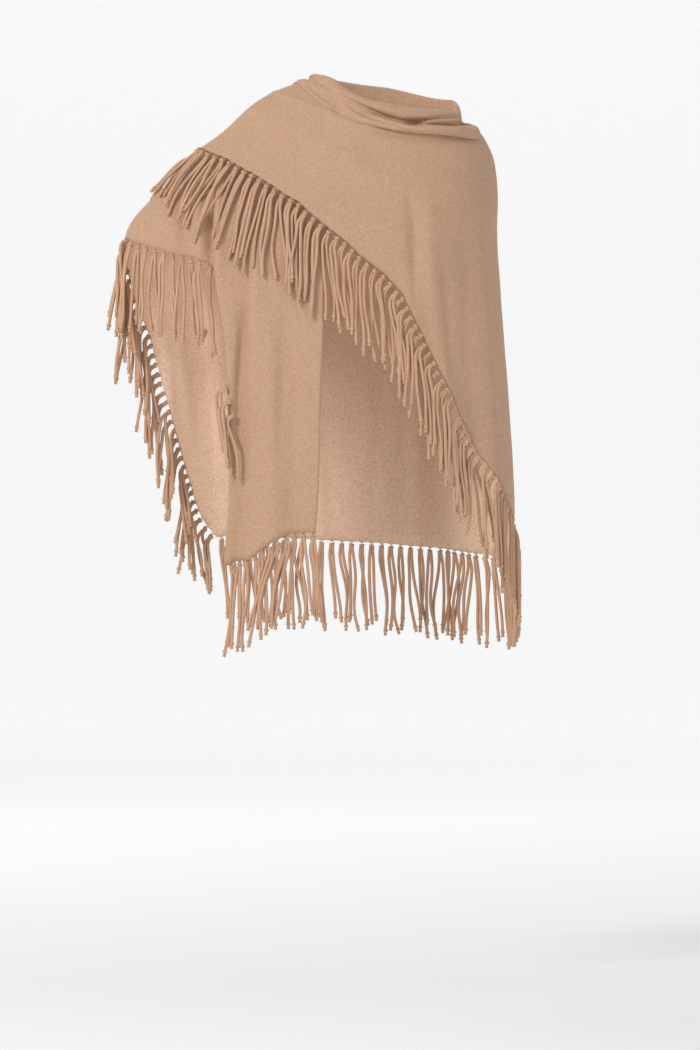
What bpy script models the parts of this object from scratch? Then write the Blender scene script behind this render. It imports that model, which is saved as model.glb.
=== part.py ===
# A fringed ruana cape, worn: one knitted sheet with a front slit, as separate cloth walls.
# Metres, +Z up, the front towards -Y. The origin is in the neck opening at shoulder height.
#
# The drape is a set of rings round the neck axis, from the neck down past the hem. A place on
# it is a turn (degrees: 0 at +X, 90 behind, 180 or -180 at -X, -90 in front) and a ring number.
# The sheet winds round the figure: right front, right arm, back, left side, left front, and
# over the right shoulder again to the thrown end, one layer further out.

import math
import random

import bmesh
import bpy
from mathutils import Vector

CLOTH = 0.002  # thickness of the knit
SEAM = 0.0003  # gap where two stretches of the sheet meet
SEAM_EASE = 0.0006  # added at the middle of the wall, whose inner edges lean together
LAYER = 0.010  # how far the thrown left front lies above the layer under it
WRAP_TURN = 70.0  # the turn over which the left front rises to that layer
KNOT_PITCH = 0.0195  # from one fringe knot to the next
STRAND_LENGTH = 0.140
STRAND_WIDTH = 0.0085
STRAND_DEPTH = 0.0055
BAND_HEIGHT = 0.005  # the narrow band of knots along an edge
BAND_GAP = 0.0017  # from the cloth's edge to that band, more than a seam because the edge bends
STRAND_RINGS = 4
STRAND_STEPS = 6  # steps down the drape from one ring of a strand to the next
STRAY = 0.25  # how far a tip strays to either side, in half widths of its strand
ELBOW_BARE = 0.008  # no knot this near the point of the elbow, where two fringes meet
PANEL_BARE = 0.006  # nor this near the front panel, beside which the arm's fringe ends
# how far strands lean towards -X for each metre of fall
DIAGONAL_LEAN = -0.10  # and that of the back hem, which it meets at a corner
THROWN_LEAN = -0.30
ARM_LEAN = -0.06
BACK_SIDE_LEAN = -0.14
TUFT_LEAN = -0.22

# Rings of the drape: where each crosses the ridge at -X (x, z), the front (y, z), the side
# at +X (x, z) and the back (y, z), and how much its -X end is drawn in round the arm.
RING_COLUMNS = ("left_x", "left_z", "front_y", "front_z", "right_x", "right_z", "back_y", "back_z", "pinch")
RINGS = (
    (-0.118, 0.050, -0.080, 0.000, 0.106, 0.008, 0.078, 0.040, 0.00),
    (-0.165, 0.036, -0.100, -0.028, 0.126, -0.012, 0.095, 0.015, 0.05),
    (-0.213, 0.010, -0.112, -0.058, 0.155, -0.026, 0.108, -0.018, 0.15),
    (-0.262, -0.034, -0.121, -0.090, 0.173, -0.054, 0.119, -0.054, 0.25),
    (-0.318, -0.076, -0.128, -0.122, 0.182, -0.084, 0.128, -0.096, 0.35),
    (-0.385, -0.136, -0.133, -0.160, 0.1865, -0.130, 0.135, -0.146, 0.38),
    (-0.429, -0.200, -0.136, -0.208, 0.185, -0.200, 0.140, -0.206, 0.35),
    (-0.420, -0.300, -0.138, -0.300, 0.191, -0.300, 0.144, -0.300, 0.27),
    (-0.402, -0.370, -0.140, -0.370, 0.196, -0.370, 0.147, -0.370, 0.23),
    (-0.394, -0.450, -0.143, -0.450, 0.202, -0.450, 0.150, -0.450, 0.20),
    (-0.388, -0.620, -0.150, -0.620, 0.213, -0.620, 0.158, -0.620, 0.15),
    (-0.400, -0.750, -0.155, -0.750, 0.212, -0.750, 0.163, -0.750, 0.12),
    (-0.400, -0.930, -0.158, -0.930, 0.212, -0.930, 0.168, -0.930, 0.12),
)

# Folds: the turn they follow at the first and the last ring, half width in degrees, depth
# (a ridge is positive), and the rings where each starts and is full.
FOLD_COLUMNS = ("turn_top", "turn_low", "width", "depth", "ring_start", "ring_full")
FOLDS = (
    (26.0, 22.0, 7.0, 0.010, 3.0, 9.5),
    (45.0, 44.0, 6.0, -0.009, 3.5, 10.0),
    (62.0, 66.0, 7.0, 0.014, 3.0, 10.0),
    (86.0, 88.0, 8.0, -0.011, 4.0, 10.0),
    (104.0, 110.0, 7.0, 0.015, 3.5, 10.0),
    (124.0, 127.0, 6.0, -0.012, 4.0, 10.0),
    (140.0, 143.0, 6.0, 0.012, 4.0, 9.5),
    (158.0, 157.0, 5.0, -0.008, 5.0, 9.0),
    (-34.0, -34.0, 6.0, 0.006, 5.0, 8.0),
    (-48.0, -48.0, 6.0, -0.004, 5.0, 8.0),
    (-62.0, -62.0, 6.0, 0.005, 5.0, 7.5),
    (-76.0, -76.0, 5.0, 0.004, 5.5, 7.5),
    (-121.0, -128.0, 2.4, -0.008, 5.5, 8.0),
    (-117.5, -118.5, 3.2, 0.007, 6.0, 9.0),
    (-112.0, -112.5, 2.6, -0.005, 6.5, 10.0),
)

# Edges, as places in the front view (x, z). Each list runs on from the one before.
SIDE_CORNER = (14.0, -0.735)  # turn and height of the corner behind the left hip
LEFT_HIP = (0.0, -0.690)  # turn and height where the edge comes round to the front
DIAGONAL = (
    (0.205, -0.647), (0.179, -0.594), (0.152, -0.561), (0.120, -0.4965), (0.0875, -0.424),
    (0.0545, -0.353), (0.028, -0.300), (-0.003, -0.267), (-0.043, -0.236), (-0.096, -0.190),
    (-0.140, -0.150), (-0.1865, -0.120), (-0.219, -0.099), (-0.262, -0.073),
)
DIAGONAL_TOP = (-180.0, -0.052)  # turn and height where the edge crosses the ridge of the arm
THROWN_SIDE = ((-0.290, -0.120), (-0.250, -0.250), (-0.205, -0.380), (-0.165, -0.470))
THROWN_HEM = ((-0.100, -0.435), (-0.030, -0.375), (0.030, -0.320))
ELBOW = (180.0, -0.199)  # turn and height where the side edge crosses the elbow
ARM_EDGE = (
    (-0.404, -0.213), (-0.376, -0.223), (-0.338, -0.233), (-0.312, -0.239), (-0.2815, -0.254),
)
BACK_SIDE = (
    (-0.398, -0.343), (-0.381, -0.401), (-0.368, -0.450), (-0.353, -0.503), (-0.338, -0.564),
    (-0.323, -0.615), (-0.305, -0.668), (-0.282, -0.698),
)
BACK_HEM = ((-0.240, -0.692), (-0.150, -0.700), (0.000, -0.708), (0.120, -0.720))
FRONT_HEM = (
    (-0.264, -0.747), (-0.2425, -0.736), (-0.2195, -0.733), (-0.201, -0.716), (-0.173, -0.700),
    (-0.1535, -0.691), (-0.114, -0.690),
)
# Turns between which the places of the front, the back and the thrown end are looked for.
FRONT_TURNS = (-180.0, -1.0)
BACK_TURNS = (1.0, 179.5)
THROWN_TURNS = (-300.0, -181.0)
SIDE_TUFT = ((-0.256, -0.452), (-0.243, -0.497))  # knots that show on the turned-under side
TUFT_LIFT = 0.0068  # their height above the panel
PANEL_SIDE_TURN = -131.0  # the right front's side edge hangs along this turn
SLIT_TURNS = (-102.8, -107.0)  # the right front's slit edge, at SLIT_RINGS
SLIT_RINGS = (6.0, 10.5)
PANEL_TOP_RING = 0.9  # the layers under the roll start at this ring

# Columns along each edge, rows down each wall, and the seed of each fringe's uneven strands.
COLUMNS = {
    "diagonal": 30,
    "thrown_side": 12,
    "thrown_hem": 8,
    "back_side": 15,
    "back_hem": 18,
    "side": 3,
    "arm": 11,
    "front_hem": 11,
}
ROWS = {"left_front": 14, "thrown_end": 11, "back": 15, "right_arm": 9, "right_front": 16}
SEEDS = {
    "fringe_diagonal": 3,
    "fringe_thrown_side": 5,
    "fringe_thrown_hem": 7,
    "fringe_arm": 11,
    "fringe_back_side": 13,
    "fringe_back_hem": 17,
    "fringe_front_hem": 19,
    "fringe_front_side": 23,
}

# The fold line under the neck roll, in the front view, and its ring number behind.
ROLL_LINE = (
    (-0.157, 0.026), (-0.117, 0.012), (-0.090, 0.003), (-0.056, -0.0115), (-0.0165, -0.025),
    (0.013, -0.033), (0.043, -0.036), (0.0825, -0.038), (0.124, -0.040), (0.153, -0.040),
)
ROLL_RING_BEHIND = 1.1
ROLL_BEHIND_TURNS = (-200.0, 20.0)  # behind the one and the other, the line keeps that ring
# Section of the roll: share of the way from the rim (0) to the fold line (1), its height above
# the layer under it, and the height that the upper and the lower fold add where they are full.
ROLL_OUTSIDE_COLUMNS = ("share", "height", "upper_fold", "lower_fold")
ROLL_OUTSIDE = (
    (1.00, 0.0040, 0.0, 0.0040),
    (0.88, 0.0050, 0.0, 0.0095),
    (0.70, 0.0050, 0.0, 0.0085),
    (0.53, 0.0045, 0.0, 0.0000),
    (0.38, 0.0050, 0.0065, 0.0),
    (0.16, 0.0055, 0.0085, 0.0),
)
# Turned down inside the neck: how far in from the rim, and how far down.
ROLL_RIM_HEIGHT = 0.0055
ROLL_INSIDE = ((-0.003, -0.005), (0.002, -0.003), (0.005, 0.008), (0.007, 0.026), (0.007, 0.044))
# Where each fold is full: the turns at which it starts, is full, begins to fade and has gone.
UPPER_FOLD_TURNS = (-165.0, -120.0, 15.0, 45.0)
LOWER_FOLD_TURNS = (-172.0, -125.0, -55.0, -12.0)
LOOP = (2.0, 22.0, 0.007)  # turn, half width in degrees and height of the loop that stands up
ROLL_COLUMNS = 44
UNDER_ROLL = 0.30  # how many rings the layers run on under the roll
LEAST_TOP_RING = 0.3


def clear_scene():
    for thing in list(bpy.data.objects):
        bpy.data.objects.remove(thing)


def smooth_step(low, high, value):
    share = min(max((value - low) / (high - low), 0.0), 1.0)
    return share * share * (3.0 - 2.0 * share)


def within(turn, highest):
    """The same turn, counted within the whole turn that ends at the highest."""
    return (turn - highest) % 360.0 + highest - 360.0


def ring_at(number):
    """Every column of the ring table at a ring number that may lie between two rows."""
    number = min(max(number, 0.0), len(RINGS) - 1.0)
    row = min(int(number), len(RINGS) - 2)
    share = number - row
    before = RINGS[max(row - 1, 0)]
    after = RINGS[min(row + 2, len(RINGS) - 1)]
    values = []
    for a, b, c, d in zip(before, RINGS[row], RINGS[row + 1], after):
        slope_b = (c - a) / 2.0
        slope_c = (d - b) / 2.0
        rise = c - b
        cubic = slope_b + slope_c - 2.0 * rise
        square = 3.0 * rise - 2.0 * slope_b - slope_c
        values.append(b + share * (slope_b + share * (square + share * cubic)))
    return dict(zip(RING_COLUMNS, values))


def fold_height(turn, number):
    """How far the folds push the sheet out at this place."""
    height = 0.0
    for row in FOLDS:
        fold = dict(zip(FOLD_COLUMNS, row))
        along = number / (len(RINGS) - 1.0)
        middle = fold["turn_top"] + (fold["turn_low"] - fold["turn_top"]) * along
        away = within(turn - middle, 180.0)
        if abs(away) < 3.0 * fold["width"]:
            strength = smooth_step(fold["ring_start"], fold["ring_full"], number)
            height += fold["depth"] * strength * math.exp(-((away / fold["width"]) ** 2))
    return height


def smooth_place(turn, number):
    """The drape without folds."""
    ring = ring_at(number)
    across = math.cos(math.radians(turn))
    along = math.sin(math.radians(turn))
    left = across < 0.0
    reach = -ring["left_x"] if left else ring["right_x"]
    depth = ring["back_y"] if along > 0.0 else -ring["front_y"]
    side_z = ring["left_z"] if left else ring["right_z"]
    middle_z = ring["back_z"] if along > 0.0 else ring["front_z"]
    sharpness = 1.0 + smooth_step(0.0, 2.0, number)
    weight = abs(across) ** sharpness
    if left:
        depth *= 1.0 - ring["pinch"] * across * across
    return Vector((reach * across, depth * along, side_z * weight + middle_z * (1.0 - weight)))


def outward(turn, number):
    """The sheet's unit normal, away from the figure."""
    step_turn = smooth_place(turn + 1.0, number) - smooth_place(turn - 1.0, number)
    low = max(number - 0.1, 0.0)
    step_down = smooth_place(turn, low + 0.2) - smooth_place(turn, low)
    return step_down.cross(step_turn).normalized()


def place(turn, number, height=0.0):
    """A point of the drape at a height above its first layer."""
    normal = outward(turn, number)
    return smooth_place(turn, number) + normal * (height + fold_height(turn, number))


def layer_height(turn):
    """Height of the wound sheet: the first layer up to the left side, then one layer out."""
    return LAYER * smooth_step(0.0, WRAP_TURN, -turn)


def ring_for_height(turn, z, height):
    """The ring number at which this turn comes down to z."""
    low, high = 0.0, len(RINGS) - 1.0
    for _ in range(30):
        middle = (low + high) / 2.0
        if place(turn, middle, height).z > z:
            low = middle
        else:
            high = middle
    return (low + high) / 2.0


def place_in_view(x, z, turns, height):
    """The (turn, ring) whose point shows at x, z from the front, between two turns."""

    def x_at(turn):
        return place(turn, ring_for_height(turn, z, height), height).x

    low, high = turns
    rising = x_at(high) > x_at(low)
    for _ in range(26):
        middle = (low + high) / 2.0
        if (x_at(middle) > x) == rising:
            high = middle
        else:
            low = middle
    turn = (low + high) / 2.0
    return turn, ring_for_height(turn, z, height)


def located(points, turns, height):
    return [place_in_view(x, z, turns, height) for x, z in points]


def ring_between(edge, turn):
    """Ring number of an edge at a turn; the edge is a list of (turn, ring)."""
    rows = sorted(edge)
    if turn <= rows[0][0]:
        return rows[0][1]
    for (turn_a, ring_a), (turn_b, ring_b) in zip(rows, rows[1:]):
        if turn <= turn_b:
            return ring_a + (ring_b - ring_a) * (turn - turn_a) / (turn_b - turn_a)
    return rows[-1][1]


def evenly_along(edge, count, height_of):
    """That many places, evenly spaced by length along an edge of (turn, ring) rows."""
    fine = []
    pieces = 24
    for (turn_a, ring_a), (turn_b, ring_b) in zip(edge, edge[1:]):
        for step in range(pieces):
            share = step / pieces
            fine.append((turn_a + (turn_b - turn_a) * share, ring_a + (ring_b - ring_a) * share))
    fine.append(edge[-1])
    lengths = [0.0]
    points = [place(turn, ring, height_of(turn)) for turn, ring in fine]
    for a, b in zip(points, points[1:]):
        lengths.append(lengths[-1] + (b - a).length)
    spots = []
    index = 0
    for number in range(count):
        wanted = lengths[-1] * number / (count - 1)
        while index < len(lengths) - 2 and lengths[index + 1] < wanted:
            index += 1
        share = (wanted - lengths[index]) / max(lengths[index + 1] - lengths[index], 1e-9)
        turn_a, ring_a = fine[index]
        turn_b, ring_b = fine[index + 1]
        spots.append((turn_a + (turn_b - turn_a) * share, ring_a + (ring_b - ring_a) * share))
    return spots


def knit_material(name, colour):
    material = bpy.data.materials.new(name)
    material.use_nodes = True
    shader = material.node_tree.nodes["Principled BSDF"]
    shader.inputs["Base Color"].default_value = (*colour, 1.0)
    shader.inputs["Roughness"].default_value = 0.9
    shader.inputs["Metallic"].default_value = 0.0
    return material


def object_from(name, work, material):
    mesh = bpy.data.meshes.new(name)
    bmesh.ops.recalc_face_normals(work, faces=work.faces)
    work.to_mesh(mesh)
    work.free()
    mesh.materials.append(material)
    made = bpy.data.objects.new(name, mesh)
    bpy.context.scene.collection.objects.link(made)
    mesh.shade_smooth()
    mesh.set_sharp_from_angle(angle=math.radians(40.0))
    return made


def sheet_object(name, rows, material, closed=False):
    """A cloth wall: the rows of points as one sheet, thickened evenly to both sides."""
    work = bmesh.new()
    grid = [[work.verts.new(point) for point in row] for row in rows]
    count = len(grid[0])
    last = count if closed else count - 1
    for upper, lower in zip(grid, grid[1:]):
        for i in range(last):
            work.faces.new((upper[i], lower[i], lower[(i + 1) % count], upper[(i + 1) % count]))
    made = object_from(name, work, material)
    wall = made.modifiers.new("thickness", "SOLIDIFY")
    wall.thickness = CLOTH
    wall.offset = 0.0
    return made


def seam_shift(turn, ring, height, side):
    """Degrees that set a column back from a seam by half the seam's gap."""
    step = (place(turn + 0.5, ring, height) - place(turn - 0.5, ring, height)).length
    return side * (SEAM + SEAM_EASE) / 2.0 / step


def stretch(name, spots, top_ring, height_of, material, seams):
    """A wall from a top line down to the edge. Each spot (turn, ring) ends one column.

    The two seams say to which side its first and its last column are set back: 1, -1 or 0.
    """
    rows = ROWS[name]
    grid = []
    for row in range(rows + 1):
        line = []
        share = row / rows
        for index, (turn, ring) in enumerate(spots):
            number = top_ring(turn) + (ring - top_ring(turn)) * share
            height = height_of(turn)
            side = seams[0] if index == 0 else seams[1] if index == len(spots) - 1 else 0
            moved = turn + (seam_shift(turn, number, height, side) if side else 0.0)
            line.append(place(moved, number, height))
        grid.append(line)
    return sheet_object(name, grid, material)


def along_polyline(points, count, bare):
    """The middles of equal stretches of a polyline, as (index, share) of its pieces.

    The two lengths in bare are left out, at its start and at its end. With them comes the
    length that is left.
    """
    lengths = [0.0]
    for a, b in zip(points, points[1:]):
        lengths.append(lengths[-1] + (b - a).length)
    covered = lengths[-1] - bare[0] - bare[1]
    spots = []
    index = 0
    for number in range(count):
        wanted = bare[0] + covered * (number + 0.5) / count
        while index < len(points) - 2 and lengths[index + 1] < wanted:
            index += 1
        spots.append((index, (wanted - lengths[index]) / (lengths[index + 1] - lengths[index])))
    return spots, covered


def drape_step(turn, ring, height, wanted):
    """Change of turn and ring that moves a point of the drape by a wanted vector."""
    here = place(turn, ring, height)
    per_turn = (place(turn + 0.5, ring, height) - here) / 0.5
    per_ring = (place(turn, ring + 0.05, height) - here) / 0.05
    cross_term = per_turn.dot(per_ring)
    spread = per_turn.length_squared * per_ring.length_squared - cross_term * cross_term
    turn_part = per_turn.dot(wanted)
    ring_part = per_ring.dot(wanted)
    turn_step = (turn_part * per_ring.length_squared - ring_part * cross_term) / spread
    ring_step = (ring_part * per_turn.length_squared - turn_part * cross_term) / spread
    return turn_step, ring_step


def fall_line(turn, ring, lean):
    """Direction in which a strand hangs on the drape, and the drape's normal there."""
    normal = outward(turn, ring)
    gravity = Vector((0.0, 0.0, -1.0))
    fall = (gravity - normal * gravity.dot(normal)).normalized()
    aside = normal.cross(fall).normalized()
    if aside.x < 0.0:
        aside = -aside
    return (fall + aside * lean).normalized(), normal


def laid_centres(turn, ring, height, length, lean):
    """Points, directions and normals down one strand that lies on the drape."""
    centres = []
    step = length / (STRAND_RINGS * STRAND_STEPS)
    for _ in range(STRAND_RINGS):
        for _ in range(STRAND_STEPS):
            down = fall_line(turn, ring, lean)[0]
            turn_step, ring_step = drape_step(turn, ring, height, down * step)
            turn += turn_step
            ring = min(ring + ring_step, len(RINGS) - 1.1)
        down, normal = fall_line(turn, ring, lean)
        centres.append((place(turn, ring, height), down, normal))
    return centres


def free_centres(root, normal, length, lean):
    """Points, directions and normals down one strand that hangs free."""
    down = Vector((lean, 0.0, -1.0)).normalized()
    level = (normal - down * normal.dot(down)).normalized()
    return [(root + down * length * step / STRAND_RINGS, down, level) for step in range(1, STRAND_RINGS + 1)]


def fringe(name, spots, height_of, material, lift=0.0, bare=(0.0, 0.0), free=False, lean=0.0):
    """Knotted strands along an edge: a narrow band with one strand drawn out at each knot."""
    dice = random.Random(SEEDS[name])
    corners = [place(turn, ring, height_of(turn) + lift) for turn, ring in spots]
    length = along_polyline(corners, 1, bare)[1]
    count = max(2, round(length / KNOT_PITCH))
    pitch = length / count
    work = bmesh.new()
    stations = []
    roots = []
    for index, share in along_polyline(corners, count, bare)[0]:
        centre = corners[index].lerp(corners[index + 1], share)
        turn = spots[index][0] + (spots[index + 1][0] - spots[index][0]) * share
        ring = spots[index][1] + (spots[index + 1][1] - spots[index][1]) * share
        along = (corners[index + 1] - corners[index]).normalized()
        down, normal = fall_line(turn, ring, lean)
        if free:
            down = Vector((lean, 0.0, -1.0)).normalized()
        slant = along.cross(down).length
        half = min(STRAND_WIDTH, 0.62 * pitch * slant) / 2.0
        reach = along * (half / max(slant, 0.2))
        across = normal.cross(along)
        if across.dot(down) < 0.0:
            across = -across
        top = centre + across * BAND_GAP
        for side in (-1.0, 1.0):
            spot = top + reach * side
            upper = (spot + normal * STRAND_DEPTH / 2.0, spot - normal * STRAND_DEPTH / 2.0)
            lower = [point + across * BAND_HEIGHT for point in upper]
            stations.append([work.verts.new(point) for point in (*upper, *lower)])
        roots.append((turn, ring, half, reach.normalized(), top + across * BAND_HEIGHT, normal))
    for index, (one, two) in enumerate(zip(stations, stations[1:])):
        out_a, in_a, low_out_a, low_in_a = one
        out_b, in_b, low_out_b, low_in_b = two
        work.faces.new((out_a, out_b, in_b, in_a))
        work.faces.new((out_a, low_out_a, low_out_b, out_b))
        work.faces.new((in_a, in_b, low_in_b, low_in_a))
        if index % 2:
            work.faces.new((low_out_a, low_in_a, low_in_b, low_out_b))
    for outer, inner, low_outer, low_inner in (stations[0], stations[-1]):
        work.faces.new((outer, inner, low_inner, low_outer))
    for index, (turn, ring, half, along, root, face) in enumerate(roots):
        left = stations[2 * index]
        right = stations[2 * index + 1]
        previous = (left[2], right[2], right[3], left[3])
        drop = STRAND_LENGTH * dice.uniform(0.9, 1.05)
        stray = lean + dice.uniform(-STRAY, STRAY) * half / STRAND_LENGTH
        if free:
            centres = free_centres(root, face, drop, stray)
        else:
            centres = laid_centres(turn, ring, height_of(turn) + lift, drop, stray)
        for here, down, normal in centres:
            across = down.cross(normal).normalized()
            if across.dot(along) < 0.0:
                across = -across
            ring_points = (
                here - across * half + normal * STRAND_DEPTH / 2.0,
                here + across * half + normal * STRAND_DEPTH / 2.0,
                here + across * half - normal * STRAND_DEPTH / 2.0,
                here - across * half - normal * STRAND_DEPTH / 2.0,
            )
            following = tuple(work.verts.new(point) for point in ring_points)
            for i in range(4):
                j = (i + 1) % 4
                work.faces.new((previous[i], previous[j], following[j], following[i]))
            previous = following
        work.faces.new(previous)
    return object_from(name, work, material)


def first_layer(turn):
    """Height of the layer that lies on the figure."""
    return 0.0


def build_edges():
    """Every fringed edge of the sheet as (turn, ring) rows."""
    top = layer_height(-180.0)
    corner = (SIDE_CORNER[0], ring_for_height(SIDE_CORNER[0], SIDE_CORNER[1], 0.0))
    side = (LEFT_HIP[0], ring_for_height(LEFT_HIP[0], LEFT_HIP[1], 0.0))
    shoulder = (DIAGONAL_TOP[0], ring_for_height(DIAGONAL_TOP[0], DIAGONAL_TOP[1], top))
    elbow = (ELBOW[0], ring_for_height(ELBOW[0], ELBOW[1], 0.0))
    diagonal = [side]
    for x, z in DIAGONAL:
        guess = place_in_view(x, z, FRONT_TURNS, top)
        diagonal.append(place_in_view(x, z, FRONT_TURNS, layer_height(guess[0])))
    diagonal.append(shoulder)
    thrown_side = [shoulder, *located(THROWN_SIDE, THROWN_TURNS, top)]
    thrown_hem = [thrown_side[-1], *located(THROWN_HEM, THROWN_TURNS, top)]
    back_side = [elbow, *located(BACK_SIDE, BACK_TURNS, 0.0)]
    back_hem = [back_side[-1], *located(BACK_HEM, BACK_TURNS, 0.0), corner]
    arm = [(-180.0, elbow[1]), *located(ARM_EDGE, FRONT_TURNS, 0.0)]
    arm[-1] = (PANEL_SIDE_TURN, arm[-1][1])
    front_hem = located(FRONT_HEM, FRONT_TURNS, 0.0)
    return {
        "side": [corner, side],
        "diagonal": diagonal,
        "thrown_side": thrown_side,
        "thrown_hem": thrown_hem,
        "back_side": back_side,
        "back_hem": back_hem,
        "arm": arm,
        "front_hem": front_hem,
    }


def slit_turn(number):
    """Turn of the right front's slit edge at a ring."""
    share = (number - SLIT_RINGS[0]) / (SLIT_RINGS[1] - SLIT_RINGS[0])
    return SLIT_TURNS[0] + (SLIT_TURNS[1] - SLIT_TURNS[0]) * min(max(share, 0.0), 1.0)


def front_panel_grid(edges, columns, rows):
    """Points of the right front, whose slit edge swings a little as it hangs."""
    hem = edges["front_hem"]
    grid = []
    for row in range(rows + 1):
        line = []
        for column in range(columns + 1):
            share = column / columns
            hem_turn = hem[0][0] + (hem[-1][0] - hem[0][0]) * share
            lowest = ring_between(hem, hem_turn)
            number = PANEL_TOP_RING + (lowest - PANEL_TOP_RING) * row / rows
            turn = PANEL_SIDE_TURN + (slit_turn(number) - PANEL_SIDE_TURN) * share
            drift = hem_turn - PANEL_SIDE_TURN - (SLIT_TURNS[1] - PANEL_SIDE_TURN) * share
            turn += drift * (row / rows) ** 3
            if column == 0:
                turn += seam_shift(turn, number, 0.0, 1)
            line.append(place(turn, number))
        grid.append(line)
    return grid


def roll_line_rings():
    """The fold line under the roll as (turn, ring) rows right round the neck."""
    top = layer_height(-180.0)
    front = sorted(located(ROLL_LINE, FRONT_TURNS, top))
    return [(ROLL_BEHIND_TURNS[0], ROLL_RING_BEHIND), *front, (ROLL_BEHIND_TURNS[1], ROLL_RING_BEHIND)]


def roll_ring(line, turn):
    """Ring number of the fold line under the roll."""
    around = within(turn, ROLL_BEHIND_TURNS[1])
    if around < ROLL_BEHIND_TURNS[0]:
        return ROLL_RING_BEHIND
    return ring_between(line, around)


def fullness(turn, turns):
    """How full a fold of the roll is at a turn, from 0 to 1."""
    start, full, fading, gone = turns
    return smooth_step(start, full, turn) * (1.0 - smooth_step(fading, gone, turn))


def height_under_roll(turn):
    """Height of the layer under the roll, all round the neck."""
    wound = -(turn % -360.0)
    return LAYER * smooth_step(0.0, WRAP_TURN, wound) * smooth_step(0.0, WRAP_TURN, 360.0 - wound)


def roll_grid(line):
    """Points of the neck roll: from its fold line up over the rim and down inside the neck."""
    turns = [-360.0 * i / ROLL_COLUMNS for i in range(ROLL_COLUMNS)]
    rows = []
    for values in ROLL_OUTSIDE:
        section = dict(zip(ROLL_OUTSIDE_COLUMNS, values))
        row = []
        for turn in turns:
            around = within(turn, 60.0)
            height = height_under_roll(turn) + section["height"]
            height += section["upper_fold"] * fullness(around, UPPER_FOLD_TURNS)
            height += section["lower_fold"] * fullness(around, LOWER_FOLD_TURNS)
            point = place(turn, roll_ring(line, turn) * section["share"], height)
            row.append(point + loop_lift(around, 1.0 - section["share"] * 2.0))
        rows.append(row)
    for inward, down in ROLL_INSIDE:
        row = []
        for turn in turns:
            around = within(turn, 60.0)
            rim = place(turn, 0.0, height_under_roll(turn) + ROLL_RIM_HEIGHT) + loop_lift(around, 1.0)
            to_axis = Vector((-rim.x, -rim.y, 0.0)).normalized()
            row.append(rim + to_axis * inward - Vector((0.0, 0.0, down)))
        rows.append(row)
    return rows


def loop_lift(turn, share):
    """How far the standing loop raises the upper fold at a turn."""
    middle, half_width, height = LOOP
    return Vector((0.0, 0.0, height * max(share, 0.0) * math.exp(-(((turn - middle) / half_width) ** 2))))


def main():
    clear_scene()
    knit = knit_material("camel_knit", (0.56, 0.38, 0.26))
    cord = knit_material("camel_cord", (0.58, 0.40, 0.28))
    edges = build_edges()
    line = roll_line_rings()

    def under_roll(turn):
        return max(roll_ring(line, turn) - UNDER_ROLL, LEAST_TOP_RING)

    def first_top(turn):
        return PANEL_TOP_RING

    def columns_of(edge, height_of):
        return evenly_along(edges[edge], COLUMNS[edge], height_of)

    diagonal = columns_of("diagonal", layer_height)
    thrown_side = columns_of("thrown_side", layer_height)
    thrown_hem = columns_of("thrown_hem", layer_height)
    back_side = columns_of("back_side", first_layer)
    back_hem = columns_of("back_hem", first_layer)
    side = columns_of("side", first_layer)
    arm = columns_of("arm", first_layer)
    front_hem = columns_of("front_hem", first_layer)
    thrown = thrown_side + thrown_hem[1:]
    behind = back_side + back_hem[1:] + side[1:]

    sheet_object("neck_roll", roll_grid(line), knit, closed=True)
    stretch("left_front", diagonal, under_roll, layer_height, knit, (-1, 1))
    stretch("thrown_end", thrown, under_roll, layer_height, knit, (-1, 0))
    stretch("back", behind, first_top, first_layer, knit, (-1, 1))
    stretch("right_arm", arm, first_top, first_layer, knit, (1, -1))
    panel = front_panel_grid(edges, COLUMNS["front_hem"], ROWS["right_front"])
    sheet_object("right_front", panel, knit)

    fringe("fringe_diagonal", side + diagonal[1:], layer_height, cord, lean=DIAGONAL_LEAN)
    fringe("fringe_thrown_side", thrown_side, layer_height, cord, lean=THROWN_LEAN)
    fringe("fringe_thrown_hem", thrown_hem, layer_height, cord)
    fringe("fringe_arm", arm, first_layer, cord, bare=(ELBOW_BARE, PANEL_BARE), free=True, lean=ARM_LEAN)
    bare_ends = (ELBOW_BARE, 0.0)
    fringe("fringe_back_side", back_side, first_layer, cord, bare=bare_ends, free=True, lean=BACK_SIDE_LEAN)
    fringe("fringe_back_hem", back_hem, first_layer, cord, lean=DIAGONAL_LEAN)
    fringe("fringe_front_hem", front_hem, first_layer, cord)
    tuft = located(SIDE_TUFT, FRONT_TURNS, TUFT_LIFT)
    fringe("fringe_front_side", tuft, first_layer, cord, lift=TUFT_LIFT, lean=TUFT_LEAN)


main()
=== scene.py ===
import math
import random

import bmesh
import bpy
import numpy as np
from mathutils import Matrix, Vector, noise


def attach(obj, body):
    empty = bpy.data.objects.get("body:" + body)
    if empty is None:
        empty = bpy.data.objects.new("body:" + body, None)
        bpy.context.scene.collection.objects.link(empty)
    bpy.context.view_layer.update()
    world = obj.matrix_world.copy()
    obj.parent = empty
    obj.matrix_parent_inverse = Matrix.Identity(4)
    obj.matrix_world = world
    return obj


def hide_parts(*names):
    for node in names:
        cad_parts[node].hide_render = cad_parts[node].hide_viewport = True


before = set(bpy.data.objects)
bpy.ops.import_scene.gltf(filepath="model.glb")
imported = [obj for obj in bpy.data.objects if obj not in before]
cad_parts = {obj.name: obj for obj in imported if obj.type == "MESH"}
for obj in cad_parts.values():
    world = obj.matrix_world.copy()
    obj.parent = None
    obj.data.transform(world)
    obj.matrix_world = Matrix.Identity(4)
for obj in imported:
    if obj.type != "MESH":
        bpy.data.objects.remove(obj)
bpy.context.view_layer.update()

print("frame loaded")

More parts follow.
